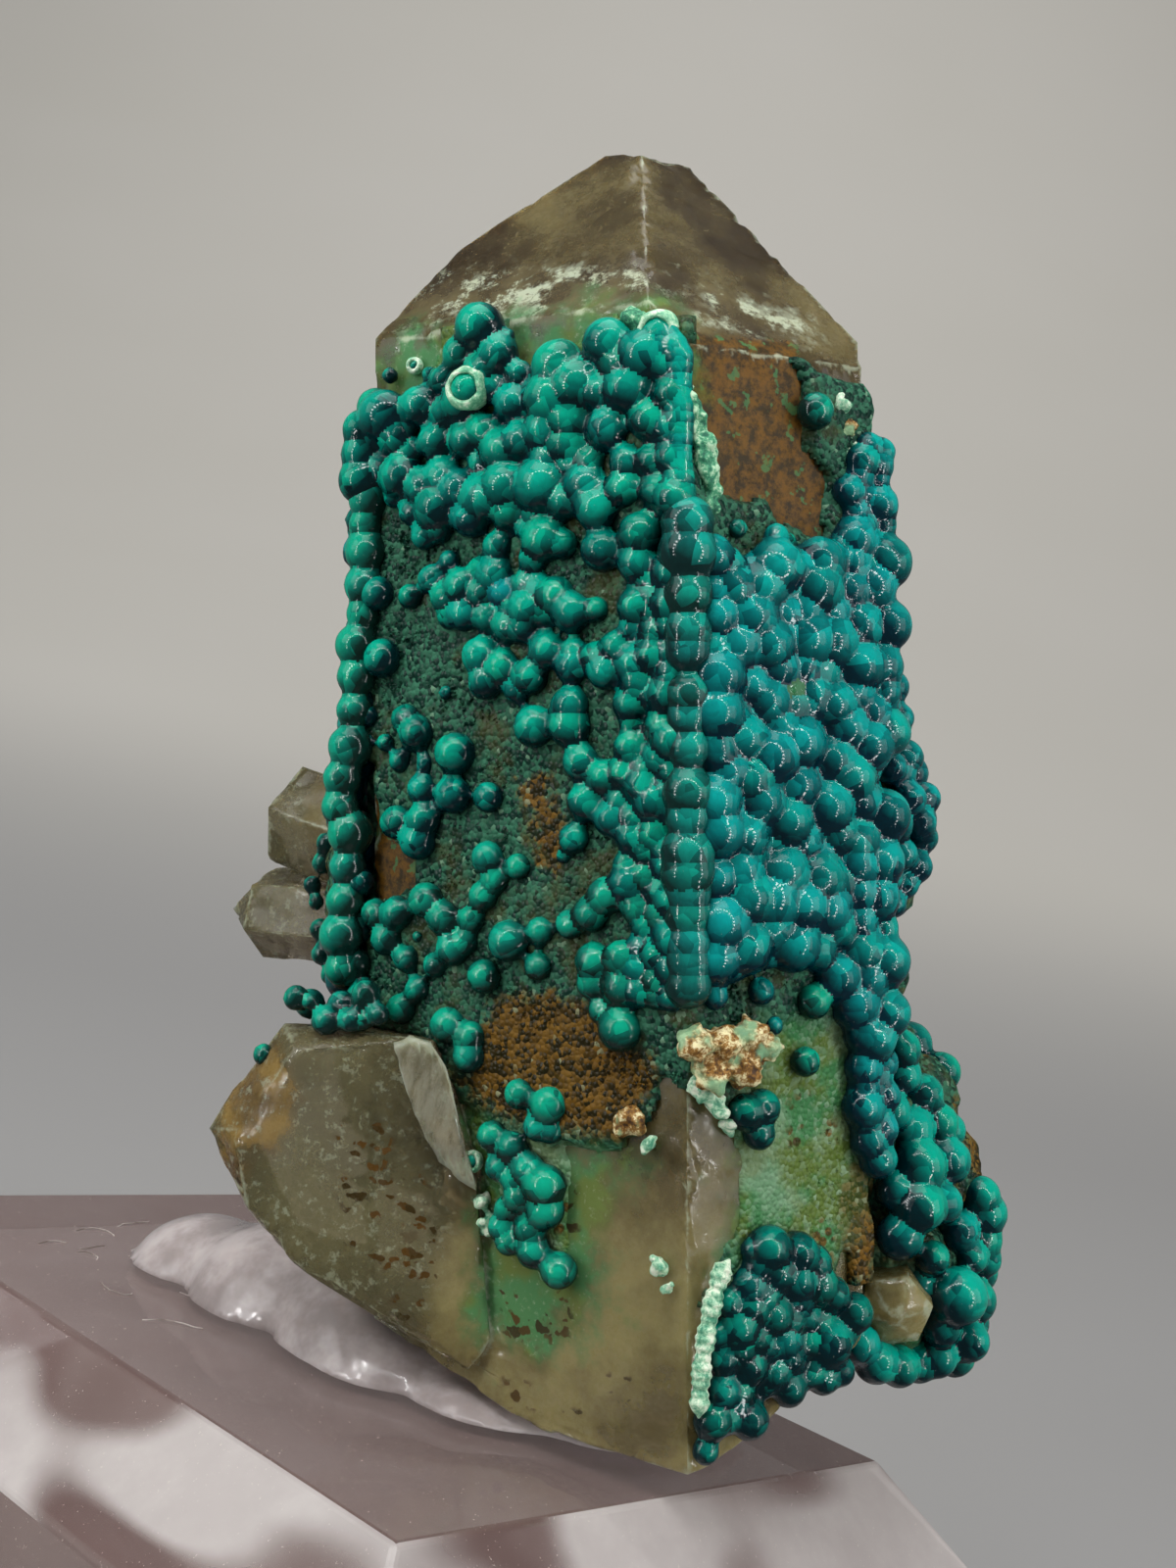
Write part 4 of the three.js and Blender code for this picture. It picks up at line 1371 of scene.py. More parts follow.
@dataclass
class DruseSheet:
    """Thin druse crust wrapped around some of the prism faces, with bare windows left open."""

    name: str
    sides: Sequence[Side]
    step: float
    cover: Sequence[Zone]
    stands_for: Sequence[str] = ()
    low: float = -18.4
    high: float = 17.4
    thickness: float = 0.42
    coat_thickness: float = 0.14
    sunk: float = 0.14
    swell: float = 0.35
    fine_grit: float = 0.055
    coarse_grit: float = 0.05

    @property
    def rows(self) -> int:
        """Number of points in each column of the grid."""
        return round((self.high - self.low) / self.step) + 1

    def build(self) -> Pieces:
        """Builds and dresses the sheet.

        Returns:
            The pieces, in order.
        """
        base, outward = self.wrap()
        cover = ragged_cover(self.cover, base)
        mesh = self.closed_sheet(base, outward, self.height(base, cover), cover)
        store_stains(mesh, coordinates(mesh))
        return [add_piece(self.name, mesh, DruseFinish().build(), "chrysocolla", self.stands_for)]

    def wrap(self) -> tuple[Array, Array]:
        """Lays a grid of points on the prism faces.

        Returns:
            Points on the quartz and their outward directions, column by column.
        """
        points, ways = [], []
        for side in self.sides:
            before, after = side.neighbours
            start, end = MAIN.corner(before, side), MAIN.corner(side, after)
            count = max(2, round((end - start).length / self.step))
            first_way = (before.normal + side.normal).normalized()
            last_way = (side.normal + after.normal).normalized()
            for column in range(count + (side is self.sides[-1])):
                share = column / count
                at_start, at_end = max(0.0, 1 - 6 * share), max(0.0, 6 * share - 5)
                way = side.normal * (1 - at_start - at_end) + first_way * at_start + last_way * at_end
                points.append(start.lerp(end, share))
                ways.append(way.normalized())
        heights = np.linspace(self.low, self.high, self.rows)
        base = np.repeat(np.array(points), self.rows, axis=0)
        base[:, 2] = np.tile(heights, len(points))
        return base, np.repeat(np.array(ways), self.rows, axis=0)

    def height(self, base: Array, cover: Array) -> Array:
        """Works out how thick the druse is.

        Args:
            base: Points on the quartz.
            cover: Depth of each point inside the covered area.

        Returns:
            Distance of the druse's surface off the quartz.
        """
        grains, swells = Turbulence(22), Turbulence(23)
        coat = smooth_step(MAIN.depth_in(GREEN_ZONES, base, reach=0.2), -0.5, 0.5)
        full = self.thickness * (1 - coat) + self.coat_thickness * coat
        swell = 1.0 + self.swell * swells.at(base, 1.7)
        grit = self.fine_grit * grains.at(base, 0.28) + self.coarse_grit * grains.at(base, 0.6)
        grit = grit * (1.0 - 0.6 * coat)
        rise = smooth_step(cover, 0.0, 0.45)
        return (full * swell + grit) * rise - 0.06 * (1.0 - rise)

    def closed_sheet(self, base: Array, outward: Array, height: Array, cover: Array) -> Mesh:
        """Closes the covered part of the grid with a back just inside the quartz.

        Args:
            base: Points on the quartz.
            outward: Outward directions.
            height: Distance of the surface off the quartz.
            cover: Depth of each point inside the covered area.

        Returns:
            The closed mesh, in the specimen's frame.
        """
        columns = len(base) // self.rows
        index = np.arange(columns * self.rows).reshape(columns, self.rows)
        quads = np.stack([index[:-1, :-1], index[1:, :-1], index[1:, 1:], index[:-1, 1:]], axis=-1)
        quads = quads.reshape(-1, 4)
        quads = quads[(cover[quads] > 0.0).all(axis=1)]
        used = np.unique(quads)
        renumber = np.full(len(base), -1)
        renumber[used] = np.arange(len(used))
        front = renumber[quads]
        back = front[:, ::-1] + len(used)
        edges: dict[tuple[int, int], None] = {}
        for a, b in np.concatenate([front[:, [i, (i + 1) % 4]] for i in range(4)]).tolist():
            if (b, a) in edges:
                del edges[(b, a)]
            else:
                edges[(a, b)] = None
        rim = [(b, a, a + len(used), b + len(used)) for a, b in edges]
        top = base[used] + outward[used] * height[used, None]
        under = base[used] - outward[used] * self.sunk
        return mesh_of(self.name, np.concatenate([top, under]), front.tolist() + back.tolist() + rim)


FRONT_COVER = (
    Zone(Side.LEFT, ((-9.0, -9.6), (-9.0, 14.6), (2.0, 13.4), (2.0, -8.2))),
    Zone(Side.FRONT_LEFT, (
        (-9.6, 14.4), (-7.6, 14.4), (-6.2, 15.2), (-5.6, 17.3), (-2.9, 17.3), (-2.2, 14.9), (-1.0, 15.2),
        (-0.2, 16.5), (1.6, 16.7), (2.4, 15.4), (2.9, 16.4), (3.9, 16.4), (3.9, -11.2), (2.6, -10.6),
        (2.4, -11.5), (1.4, -13.2), (-1.4, -13.2), (-3.8, -12.6), (-5.4, -11.3), (-6.0, -9.8),
        (-9.6, -9.4),
    )),
    Zone(Side.FRONT_LEFT, (
        (-4.6, -12.6), (-2.8, -10.6), (-0.8, -11.0), (-0.6, -14.0), (-0.7, -18.2), (-1.8, -18.2),
        (-3.4, -17.2), (-4.0, -15.2),
    )),
    Zone(Side.FRONT_RIGHT, (
        (3.0, 16.4), (3.4, 16.2), (3.7, 12.4), (4.3, 10.3), (6.6, 10.3), (7.0, 9.4), (8.3, 9.1),
        (8.5, 11.0), (7.6, 12.4), (7.4, 15.4), (11.0, 14.6), (11.0, -15.0), (8.9, -18.2), (10.6, -19.0),
        (10.6, -22.2), (7.0, -22.4), (3.4, -23.8), (3.2, -21.0), (3.9, -17.6), (4.9, -16.6), (5.1, -14.0),
        (5.3, -13.2), (3.8, -11.1), (3.0, -10.6),
    )),
)
RIGHT_COVER = (Zone(Side.RIGHT, ((-7.2, -20.0), (-7.2, 14.2), (3.4, 12.6), (8.4, 13.6), (8.4, -16.0))),)
BACK_COVER = (
    Zone(Side.BACK_RIGHT, (
        (11.0, -15.5), (11.0, 13.6), (6.0, 12.2), (1.6, 13.2), (1.6, -14.6), (6.0, -16.2),
    )),
    Zone(Side.BACK_LEFT, (
        (1.9, -14.6), (1.9, 13.0), (-3.0, 11.4), (-8.8, 12.6), (-8.8, -9.0), (-3.0, -14.0),
    )),
)


class Tone(Enum):
    """Tint, warmth and darkness that a group of balls takes."""

    TEAL = (0.15, 0.0, 0.0)
    BLUE = (0.85, 0.0, 0.3)
    BRIGHT = (1.0, 0.0, -0.9)
    LIGHT = (0.35, 0.0, -0.9)
    LEAF = (0.0, 0.08, -1.3)
    PALE = (0.1, 0.0, -1.8)
    MINT = (0.0, 0.06, 0.0)
    # Darkened because little light reaches the lowest balls: painted shade.
    DEEP = (0.2, 0.0, 2.1)
    OLIVE = (0.0, 0.75, 0.0)
    EDGE = (0.55, 0.10, 0.9)


@dataclass(frozen=True)
class Ball:
    """One ball: its middle and radius in the specimen's frame, and its colour."""

    middle: Vector
    radius: float
    tint: float
    warmth: float
    shade: float

    @property
    def lit_side(self) -> Vector:
        """Direction towards which the ball's colour is painted lighter, as if lit from there: away from the
        crystal and a little up.
        """
        away = Vector((self.middle.x - 1.0, self.middle.y, 0.0)).normalized()
        return (away + Vector((0.0, 0.0, 0.7))).normalized()


LEFT_TOP = (
    (-4.05, 17.0, .85), (-3.3, 15.9, .65), (-2.95, 16.55, .2), (-2.5, 15.1, .4), (-1.9, 14.45, .35),
    (-2.8, 14.0, .6), (-2.05, 13.6, .3), (-7.6, 15.65, .25), (-6.0, 15.5, .25), (-7.25, 13.2, .65),
    (-6.75, 12.65, .45), (-5.75, 12.9, .62), (-4.55, 12.8, .6), (-3.85, 13.05, .6), (-2.45, 12.55, .68),
    (-.42, 14.35, .88), (-.67, 13.1, .75), (.72, 15.75, .85), (1.42, 14.0, .8), (.72, 12.65, .7),
    (2.15, 12.75, .65), (-1.45, 11.8, .6), (-.62, 11.5, .5), (.05, 11.5, .5), (1.35, 11.4, .55),
    (2.2, 11.35, .5), (1.27, 10.45, .6), (2.45, 10.2, .55), (3.05, 9.9, .7), (-3.0, 11.65, .35),
    (-6.2, 11.25, .68), (-7.4, 10.95, .35), (-6.7, 10.3, .45), (-6.15, 9.4, .5), (-5.58, 9.55, .45),
    (-4.35, 9.9, .68), (-2.92, 10.0, .62), (-1.9, 9.8, .42), (-2.2, 9.25, .4), (-.8, 10.2, .62),
    (.3, 9.85, .75), (-3.35, 8.75, .5), (-2.0, 8.2, .5), (-.92, 8.65, .5), (.5, 8.3, .7),
    (1.85, 8.8, .72), (1.75, 7.75, .65), (-7.9, 12.1, .5), (-8.1, 13.3, .5), (-5.3, 13.9, .55),
    (-3.5, 14.6, .5), (2.9, 11.4, .5), (2.9, 13.6, .55), (2.75, 12.4, .5), (.4, 14.9, .5),
    (-4.0, 11.9, .4), (2.6, 14.7, .5), (-7.0, 14.2, .4),
)
LEFT_MIDDLE = (
    (-5.2, 8.35, .35), (-5.87, 7.7, .5), (-6.75, 7.1, .43), (-8.1, 7.3, .6), (-4.7, 7.35, .62),
    (-4.6, 6.3, .58), (-3.25, 6.4, .3), (-2.2, 6.4, .62), (-1.55, 6.2, .42), (-.6, 6.15, .68),
    (.3, 6.2, .4), (2.3, 6.55, .45), (-7.9, 4.8, .66), (-4.0, 4.7, .65), (-3.8, 3.75, .6),
    (-3.15, 4.25, .6), (-2.6, 3.4, .45), (-2.1, 3.9, .6), (-1.5, 4.8, .6), (-.6, 4.15, .55),
    (-.5, 4.75, .4), (.3, 4.5, .5), (1.0, 4.8, .55), (.62, 3.95, .6), (-5.35, 3.4, .22),
    (-8.45, 2.6, .32), (-8.5, 1.6, .25), (-7.75, 1.55, .3), (-6.95, 2.45, .5), (-6.5, 1.9, .62),
    (-4.97, 1.1, .72), (-7.15, .85, .38), (-6.15, .75, .3), (-1.97, 2.05, .7), (-.66, 2.75, .65),
    (-.66, 2.0, .7), (1.5, 2.1, .35), (1.5, 1.2, .55), (2.55, 1.95, .5), (2.5, .85, .5), (-.27, .7, .6),
    (.57, .2, .55), (-.1, -.75, .6), (1.9, -.15, .6), (1.1, -.7, .4), (.83, -1.35, .58), (1.6, -1.3, .45),
    (2.35, -1.9, .5), (-6.3, -.2, .5), (-5.07, -.45, .65), (-3.7, -.55, .5), (-7.3, -1.5, .58),
    (-6.2, -1.4, .6), (-6.45, -2.2, .65), (-.53, -2.05, .5), (-.9, -2.7, .23),
)
LEFT_BRIGHT = ((-3.1, 7.05, .5),)
LEFT_LOWER = (
    (-3.73, -2.8, .55), (-2.57, -3.1, .42), (-3.45, -3.65, .45), (-3.87, -4.2, .5), (.62, -4.1, .62),
    (.1, -4.75, .6), (-.65, -5.15, .48), (1.95, -3.4, .45), (1.72, -4.5, .5), (2.5, -4.7, .45),
    (-8.15, -5.0, .5), (-7.25, -4.95, .58), (-7.7, -6.0, .55), (-6.12, -4.45, .62), (-5.4, -5.1, .6),
    (-4.3, -5.05, .43), (-6.42, -5.8, .2), (-5.07, -6.25, .58), (-4.58, -5.95, .45), (-2.93, -5.85, .7),
    (-1.75, -5.45, .47), (-8.95, -6.95, .5), (-6.9, -6.7, .45), (-5.73, -6.85, .43), (-3.87, -7.2, .57),
    (-1.83, -6.75, .45), (-6.45, -7.8, .42), (-8.65, -8.25, .6), (-7.1, -8.6, .52), (-8.8, -9.1, .45),
    (-5.25, -9.1, .62), (-4.4, -9.45, .52), (-4.43, -10.2, .55), (.2, -6.45, .62), (1.2, -6.3, .6),
    (.13, -7.25, .5), (1.18, -7.35, .62), (2.37, -7.0, .48), (2.4, -7.6, .4), (.47, -8.2, .42),
    (1.13, -8.85, .72), (-2.53, -11.45, .5), (-1.42, -11.75, .6), (-1.8, -12.55, .5), (-1.35, -12.7, .4),
    (-3.55, -13.1, .5), (-2.8, -13.4, .5), (-3.3, -14.2, .45), (-2.19, -14.15, .55), (-2.55, -15.2, .5),
    (-1.57, -14.7, .7), (-1.54, -15.6, .6), (-3.2, -16.4, .45), (-2.08, -16.35, .5), (-2.9, -16.9, .45),
    (-2.0, -17.15, .55), (-1.07, -17.7, .6), (-3.0, -15.7, .4), (-2.7, -14.6, .45),
)
RIGHT_BLUE = (
    (6.75, 8.85, .4), (8.05, 8.0, .52), (4.9, 7.7, .55), (5.88, 7.75, .38), (6.33, 6.5, .55),
    (4.87, 6.1, .45), (5.37, 5.5, .47), (7.9, 7.1, .38), (8.2, 6.65, .4), (9.0, 6.95, .55),
    (9.47, 6.2, .5), (7.0, 5.2, .68), (6.45, 4.65, .5), (8.5, 5.3, .8), (9.1, 4.8, .6), (9.95, 6.55, .55),
    (10.5, 5.75, .55), (10.2, 7.2, .6), (10.5, 8.75, .55), (10.35, 7.9, .65), (10.15, 9.55, .45),
    (9.55, 10.75, .5), (10.25, 10.5, .45), (10.75, 11.2, .4), (8.05, 3.2, .75), (8.6, 2.35, .42),
    (9.6, 3.4, .5), (10.55, 3.4, .5), (5.45, 3.1, .38), (5.1, 2.25, .58), (6.5, 2.3, .58),
    (7.45, 1.8, .68), (9.0, 1.4, .35), (5.1, .35, .4), (7.6, .5, .55), (9.05, .4, .55), (6.55, -.1, .53),
    (7.4, -.45, .65), (5.15, -.45, .5), (8.6, -.45, .45), (9.4, -.45, .45), (10.45, -.65, .5),
    (5.4, -1.5, .53), (6.7, -1.2, .4), (7.8, -1.6, .53), (7.2, -1.95, .45), (8.65, -1.5, .4),
    (9.7, -1.3, .43), (4.5, -1.95, .33), (4.7, -2.6, .38), (5.68, -2.8, .55), (8.3, -2.6, .53),
    (9.3, -2.8, .5), (10.6, -2.5, .45), (6.9, -3.45, .53), (6.35, -3.3, .25), (5.25, -3.85, .5),
    (4.3, -3.9, .43), (10.0, -3.35, .6), (10.35, -4.65, .48), (7.55, -4.7, .45), (5.6, -5.25, .58),
    (7.2, -5.6, .58), (8.55, -5.4, .5), (4.6, -5.6, .3), (6.35, -6.3, .35), (9.45, -6.3, .45),
    (10.35, -5.65, .48), (10.4, -6.5, .48), (6.15, -7.5, .43), (4.45, -7.6, .4), (9.7, -8.0, .5),
    (10.5, -7.3, .38), (10.2, -9.3, .75), (6.65, -8.75, .3), (10.6, 1.55, .6), (10.5, 2.5, .55),
    (10.1, -10.55, .6), (10.1, -12.0, .7), (10.35, -13.3, .6), (9.3, 8.6, .5), (9.6, 7.7, .55),
    (9.0, 7.8, .45), (8.6, 6.1, .5), (9.9, 5.2, .55), (9.6, 4.2, .5), (7.6, 4.2, .5), (8.9, 3.9, .5),
    (10.2, 4.4, .5), (9.3, 2.5, .5), (8.3, .9, .5), (9.8, .9, .5), (6.2, 1.1, .5), (8.1, -.2, .45),
    (6.1, -2.1, .4), (9.0, -2.0, .45), (10.1, -1.8, .45),
)
RIGHT_GREEN = (
    (8.3, 13.55, .6), (7.3, 8.8, .17), (8.15, -8.0, .57), (7.85, -10.15, .48), (8.15, 1.25, .42),
    (5.3, 9.0, .3), (5.4, 4.2, .35), (4.6, 3.4, .4),
)
RIGHT_OLIVE = ((7.15, 3.25, .62), (8.05, 4.1, .45))
LOWER_CLUSTER = (
    (6.45, -16.7, .75), (5.8, -16.65, .32), (7.45, -18.0, .7), (5.65, -17.95, .55), (8.85, -18.7, .62),
    (6.55, -19.1, .65), (7.9, -19.4, .45), (5.25, -19.4, .68), (4.45, -19.5, .4), (8.75, -20.5, .8),
    (6.3, -20.2, .5), (5.65, -20.8, .6), (7.2, -20.75, .55), (6.6, -21.2, .55), (6.3, -21.6, .35),
    (4.35, -22.5, .6), (4.8, -22.5, .5), (4.1, -23.5, .4), (5.55, -11.75, .6), (6.2, -11.65, .6),
    (6.1, -12.6, .5), (4.7, -21.5, .55), (5.2, -22.1, .5), (4.9, -18.4, .45), (7.9, -20.3, .5),
    (5.3, -21.7, .5), (4.7, -20.4, .5),
)
FRONT_EDGE = (
    (9.0, .75), (7.95, .85), (6.5, .72), (5.2, .68), (4.5, .65), (3.0, .65), (2.2, .6), (1.1, .62),
    (-.4, .74), (-1.3, .65), (-2.5, .76), (-3.2, .78), (-3.9, .66), (-4.7, .66), (-5.6, .66), (-6.3, .66),
    (-7.1, .66),
)
LEFT_EDGE = (
    (-8.2, 14.4), (-8.4, 13.5), (-8.35, 12.6), (-8.45, 11.7), (-8.45, 10.9), (-8.6, 9.9), (-8.6, 8.9),
    (-8.65, 7.6), (-8.7, 6.5), (-8.95, 5.3), (-8.95, 4.1), (-9.05, 2.8), (-9.2, 1.4), (-9.5, 0.2),
    (-9.6, -.9), (-9.2, -1.9), (-9.3, -3.2), (-9.4, -4.5), (-9.55, -5.8), (-9.5, -7.1),
)
BULGE = (
    (11.1, -2.6, 8.3, .6), (11.7, -2.6, 3.7, .6), (11.94, -3.0, 2.5, .5), (12.2, -3.0, 1.0, .6),
    (11.9, -3.2, .3, .55), (13.0, -2.4, -.57, .55), (12.7, -2.8, -1.5, .62), (12.9, -2.4, -2.1, .55),
    (12.6, -2.8, -3.2, .55), (12.1, -3.0, -3.85, .5), (11.6, -3.4, -4.6, .45), (12.2, -3.6, -.6, .6),
    (11.6, -4.0, -1.6, .6), (11.9, -3.6, -2.7, .55), (11.4, -4.2, .6, .55), (11.3, -4.2, 1.9, .55),
    (12.6, -1.2, .4, .7), (12.9, -1.0, -1.4, .75), (12.5, -1.0, -3.0, .7), (11.3, -4.0, -3.6, .5),
    (11.2, -4.3, 3.0, .5), (11.9, -1.6, 2.4, .7), (12.0, -.9, -4.6, .6),
)
LOWER_RIGHT = (
    (11.8, -4.3, -10.0, .55), (11.8, -4.0, -11.0, .6), (12.75, -3.2, -11.9, .65), (13.9, -1.8, -13.5, .6),
    (12.4, -4.4, -14.4, .87), (13.7, -3.4, -14.4, .7), (11.4, -4.9, -15.2, .53), (12.3, -5.0, -15.8, .8),
    (13.3, -4.4, -15.8, .6), (11.6, -5.0, -16.9, .7), (12.9, -4.5, -17.8, .48), (15.4, -1.9, -16.7, .7),
    (15.2, -2.1, -16.0, .6), (15.3, -1.9, -17.7, .6), (14.7, -2.6, -18.2, .5), (15.4, -1.8, -18.5, .5),
    (13.96, -3.9, -19.4, .95), (14.6, -2.8, -21.4, .6), (13.3, -3.2, -21.9, .6), (14.2, -2.0, -22.2, .6),
    (10.8, -4.4, -21.7, .65), (10.1, -4.9, -20.9, .6), (12.4, -3.6, -18.9, .7), (14.2, -2.8, -17.2, .6),
    (12.6, -3.2, -22.1, .6), (11.7, -4.0, -22.0, .6), (13.4, -3.6, -20.6, .6), (14.9, -2.2, -20.0, .7),
    (13.4, -3.0, -13.0, .6), (12.2, -3.8, -13.1, .7), (11.3, -4.6, -12.3, .6), (11.2, -4.4, -9.0, .5),
    (15.2, -.6, -19.2, .8), (15.1, -.2, -17.2, .8), (14.6, .4, -15.2, .8), (13.6, 1.2, -13.0, .8),
    (14.9, -.8, -21.2, .7), (14.0, -.4, -11.4, .6), (12.9, .4, -10.4, .7),
)
STRAYS = (
    (-11.3, 2.2, -4.1, .42), (-11.1, 2.0, -4.8, .37), (-10.9, 1.8, -5.9, .49), (-10.8, 1.6, -6.9, .49),
    (-10.6, 1.6, -2.4, .5), (-10.8, 1.8, -3.2, .5), (-10.4, 1.2, -7.7, .45), (-11.0, -4.2, -8.1, .51),
    (-10.4, -4.5, -8.2, .33), (-9.8, -4.7, -8.9, .59), (-8.85, -5.0, -8.85, .5), (-8.4, -5.0, -8.9, .4),
    (-8.3, -4.8, -7.9, .59), (-10.6, -3.4, -8.4, .6), (-9.3, -4.1, -8.4, .6), (-12.3, -3.7, -10.3, .45),
    (-7.8, -5.2, -8.6, .45),
)
LEFT_EXTRA = ((-4.8, 16.1, .6), (-3.9, 15.3, .65), (-5.4, 15.2, .5))


DENSE_LEFT = (
    ((-8.6, 14.0), (-7.4, 14.2), (-5.6, 14.6), (-3.4, 15.2), (-1.6, 14.8), (0.0, 15.4), (1.6, 16.0),
     (2.9, 15.0), (3.3, 10.0), (1.6, 7.2), (-0.6, 7.9), (-3.4, 9.6), (-5.0, 9.0), (-5.6, 11.0),
     (-8.6, 11.6)),
    ((1.9, 7.4), (3.2, 7.4), (3.2, -7.9), (2.0, -7.9), (1.5, -4.0), (1.4, 1.0), (1.6, 4.0)),
    ((-6.0, 8.2), (-3.8, 7.9), (-0.2, 6.6), (0.4, 5.8), (-2.2, 5.6), (-4.8, 6.0)),
)
DENSE_RIGHT = (
    ((4.0, 8.2), (7.4, 7.6), (9.0, 8.8), (10.7, 9.6), (10.7, -9.4), (9.6, -9.4), (8.0, -6.6),
     (5.6, -6.2), (4.0, -7.0)),
    ((9.8, 12.6), (10.7, 12.6), (10.7, 8.6), (9.4, 8.6)),
    ((9.7, -9.0), (10.7, -9.0), (10.7, -14.2), (9.9, -14.2)),
    ((6.0, -16.2), (7.2, -16.6), (9.4, -18.8), (9.2, -21.4), (6.4, -22.0), (4.4, -23.0), (4.6, -18.0)),
)


@dataclass
class BallField:
    """A group of balls that are joined into one closed crust."""

    name: str
    balls: list[Ball] = field(default_factory=list)
    seed: int = 1
    stand_off: float = 0.26
    stand_off_share: float = 0.36
    wobble: float = 0.035
    swell: float = 0.11
    crowding: float = 0.50
    softness: int = 2
    voxel: float = 0.125
    fill_stand_off: float = 0.22
    large: float = 0.42
    fewest: int = 80

    def __post_init__(self) -> None:
        """Starts the group's random numbers."""
        self.random = chance(self.seed)
        self.unevenness = Turbulence(3)

    def add(self, middle: Sequence[float], radius: float, tone: Tone) -> None:
        """Adds a ball.

        Args:
            middle: Its middle in the specimen's frame.
            radius: Its radius.
            tone: Its colour group.
        """
        tint, warmth, darkness = tone.value
        tint = float(np.clip(tint + self.random.normal(0.0, 0.12), 0.0, 1.0))
        shade = float(self.random.uniform(0.0, 1.0)) - darkness
        self.balls.append(Ball(Vector(middle), radius, tint, warmth, shade))

    def add_seen(self, side: Side, places: Iterable[tuple[float, float, float]], tone: Tone) -> None:
        """Adds balls that are seen at places on a prism face.

        Args:
            side: The face.
            places: x, z and radius of each ball.
            tone: Their colour group.
        """
        for x, z, radius in places:
            radius = radius + self.swell
            proud = self.stand_off + self.stand_off_share * radius
            self.add(MAIN.seen_on_face(side, x, z, proud), radius, tone)

    def fill(
        self, zone: Zone, tone: Tone, sizes: tuple[float, float] = (0.55, 0.80), tries: int = 900
    ) -> None:
        """Crowds an area with balls that overlap their neighbours.

        Args:
            zone: The area.
            tone: Colour group of the new balls.
            sizes: Smallest and largest radius.
            tries: Places that are tried.
        """
        corners = np.array(zone.corners)
        spots = self.random.uniform(corners.min(axis=0), corners.max(axis=0), (tries, 2))
        for along, height in spots[zone.depth(spots) > 0.0]:
            radius = float(self.random.uniform(*sizes))
            proud = self.fill_stand_off + self.stand_off_share * radius
            middle = MAIN.on_face(zone.side, along, height, proud)
            gaps = ((middle - ball.middle).length / (radius + ball.radius) for ball in self.balls)
            if min(gaps, default=math.inf) > self.crowding:
                self.add(middle, radius, tone)

    def add_free(self, places: Iterable[tuple[float, float, float, float]], tone: Tone) -> None:
        """Adds balls by x, y, z and radius."""
        for x, y, z, radius in places:
            self.add((x, y, z), radius, tone)

    def build(self, finish: Material) -> bpy.types.Object:
        """Joins the balls and dresses them.

        Args:
            finish: Material of the balls.

        Returns:
            The piece's object.
        """
        collection = bpy.data.collections.new(f"{self.name}_parts")
        bpy.context.scene.collection.children.link(collection)
        shapes = {level: self.template(level) for level in (2, 3)}
        for ball in self.balls:
            collection.objects.link(bpy.data.objects.new("ball", self.ball_mesh(ball, shapes)))
        mesh = self.joined(collection)
        for thing in list(collection.objects):
            data = thing.data
            bpy.data.objects.remove(thing)
            bpy.data.meshes.remove(data)
        bpy.data.collections.remove(collection)
        return add_piece(self.name, self.softened(mesh), finish, "chrysocolla")

    def softened(self, mesh: Mesh) -> Mesh:
        """Rounds the creases between the balls and stores each face's ball.

        Args:
            mesh: Joined balls in the row frame.

        Returns:
            The softened mesh in the specimen's frame.
        """
        mesh.transform(PLACE.inverted())
        mesh = remeshed(mesh, self.voxel)
        drop_specks(mesh, self.fewest)
        relax(mesh, self.softness)
        centres = read_rows(mesh.polygons, "center")
        nearest = np.full(len(centres), np.inf)
        owner = np.zeros(len(centres), int)
        for index, ball in enumerate(self.balls):
            gap = np.linalg.norm(centres - np.array(ball.middle), axis=1) - ball.radius
            closer = gap < nearest
            nearest[closer] = gap[closer]
            owner[closer] = index
        turn = PLACE.to_3x3().normalized()
        for name, values in (
            (Field.CENTRE, [PLACE @ ball.middle for ball in self.balls]),
            (Field.CAP, [turn @ ball.lit_side for ball in self.balls]),
            (Field.TINT, [ball.tint for ball in self.balls]),
            (Field.WARMTH, [ball.warmth for ball in self.balls]),
            (Field.SHADE, [ball.shade for ball in self.balls]),
        ):
            store(mesh, name, np.array(values)[owner], "FACE")
        return mesh

    @staticmethod
    def template(level: int) -> Mesh:
        """Makes a ball of radius 1.

        Args:
            level: Number of subdivisions.

        Returns:
            The ball's mesh.
        """
        bm = bmesh.new()
        bmesh.ops.create_icosphere(bm, subdivisions=level, radius=1.0)
        return poured(f"ball_level_{level}", bm)

    def ball_mesh(self, ball: Ball, shapes: dict[int, Mesh]) -> Mesh:
        """Makes one slightly uneven ball.

        Args:
            ball: The ball.
            shapes: Plain balls by their subdivisions.

        Returns:
            Its mesh in the row frame.
        """
        mesh = shapes[3 if ball.radius > self.large else 2].copy()
        unit = coordinates(mesh)
        swell = 1.0 + self.wobble * self.unevenness.at(unit + np.array(ball.middle) * 3.0, 0.9)
        places = (unit * swell[:, None] * ball.radius + np.array(ball.middle)) @ np.array(PLACE.to_3x3()).T
        set_coordinates(mesh, places + np.array(PLACE.translation))
        return mesh

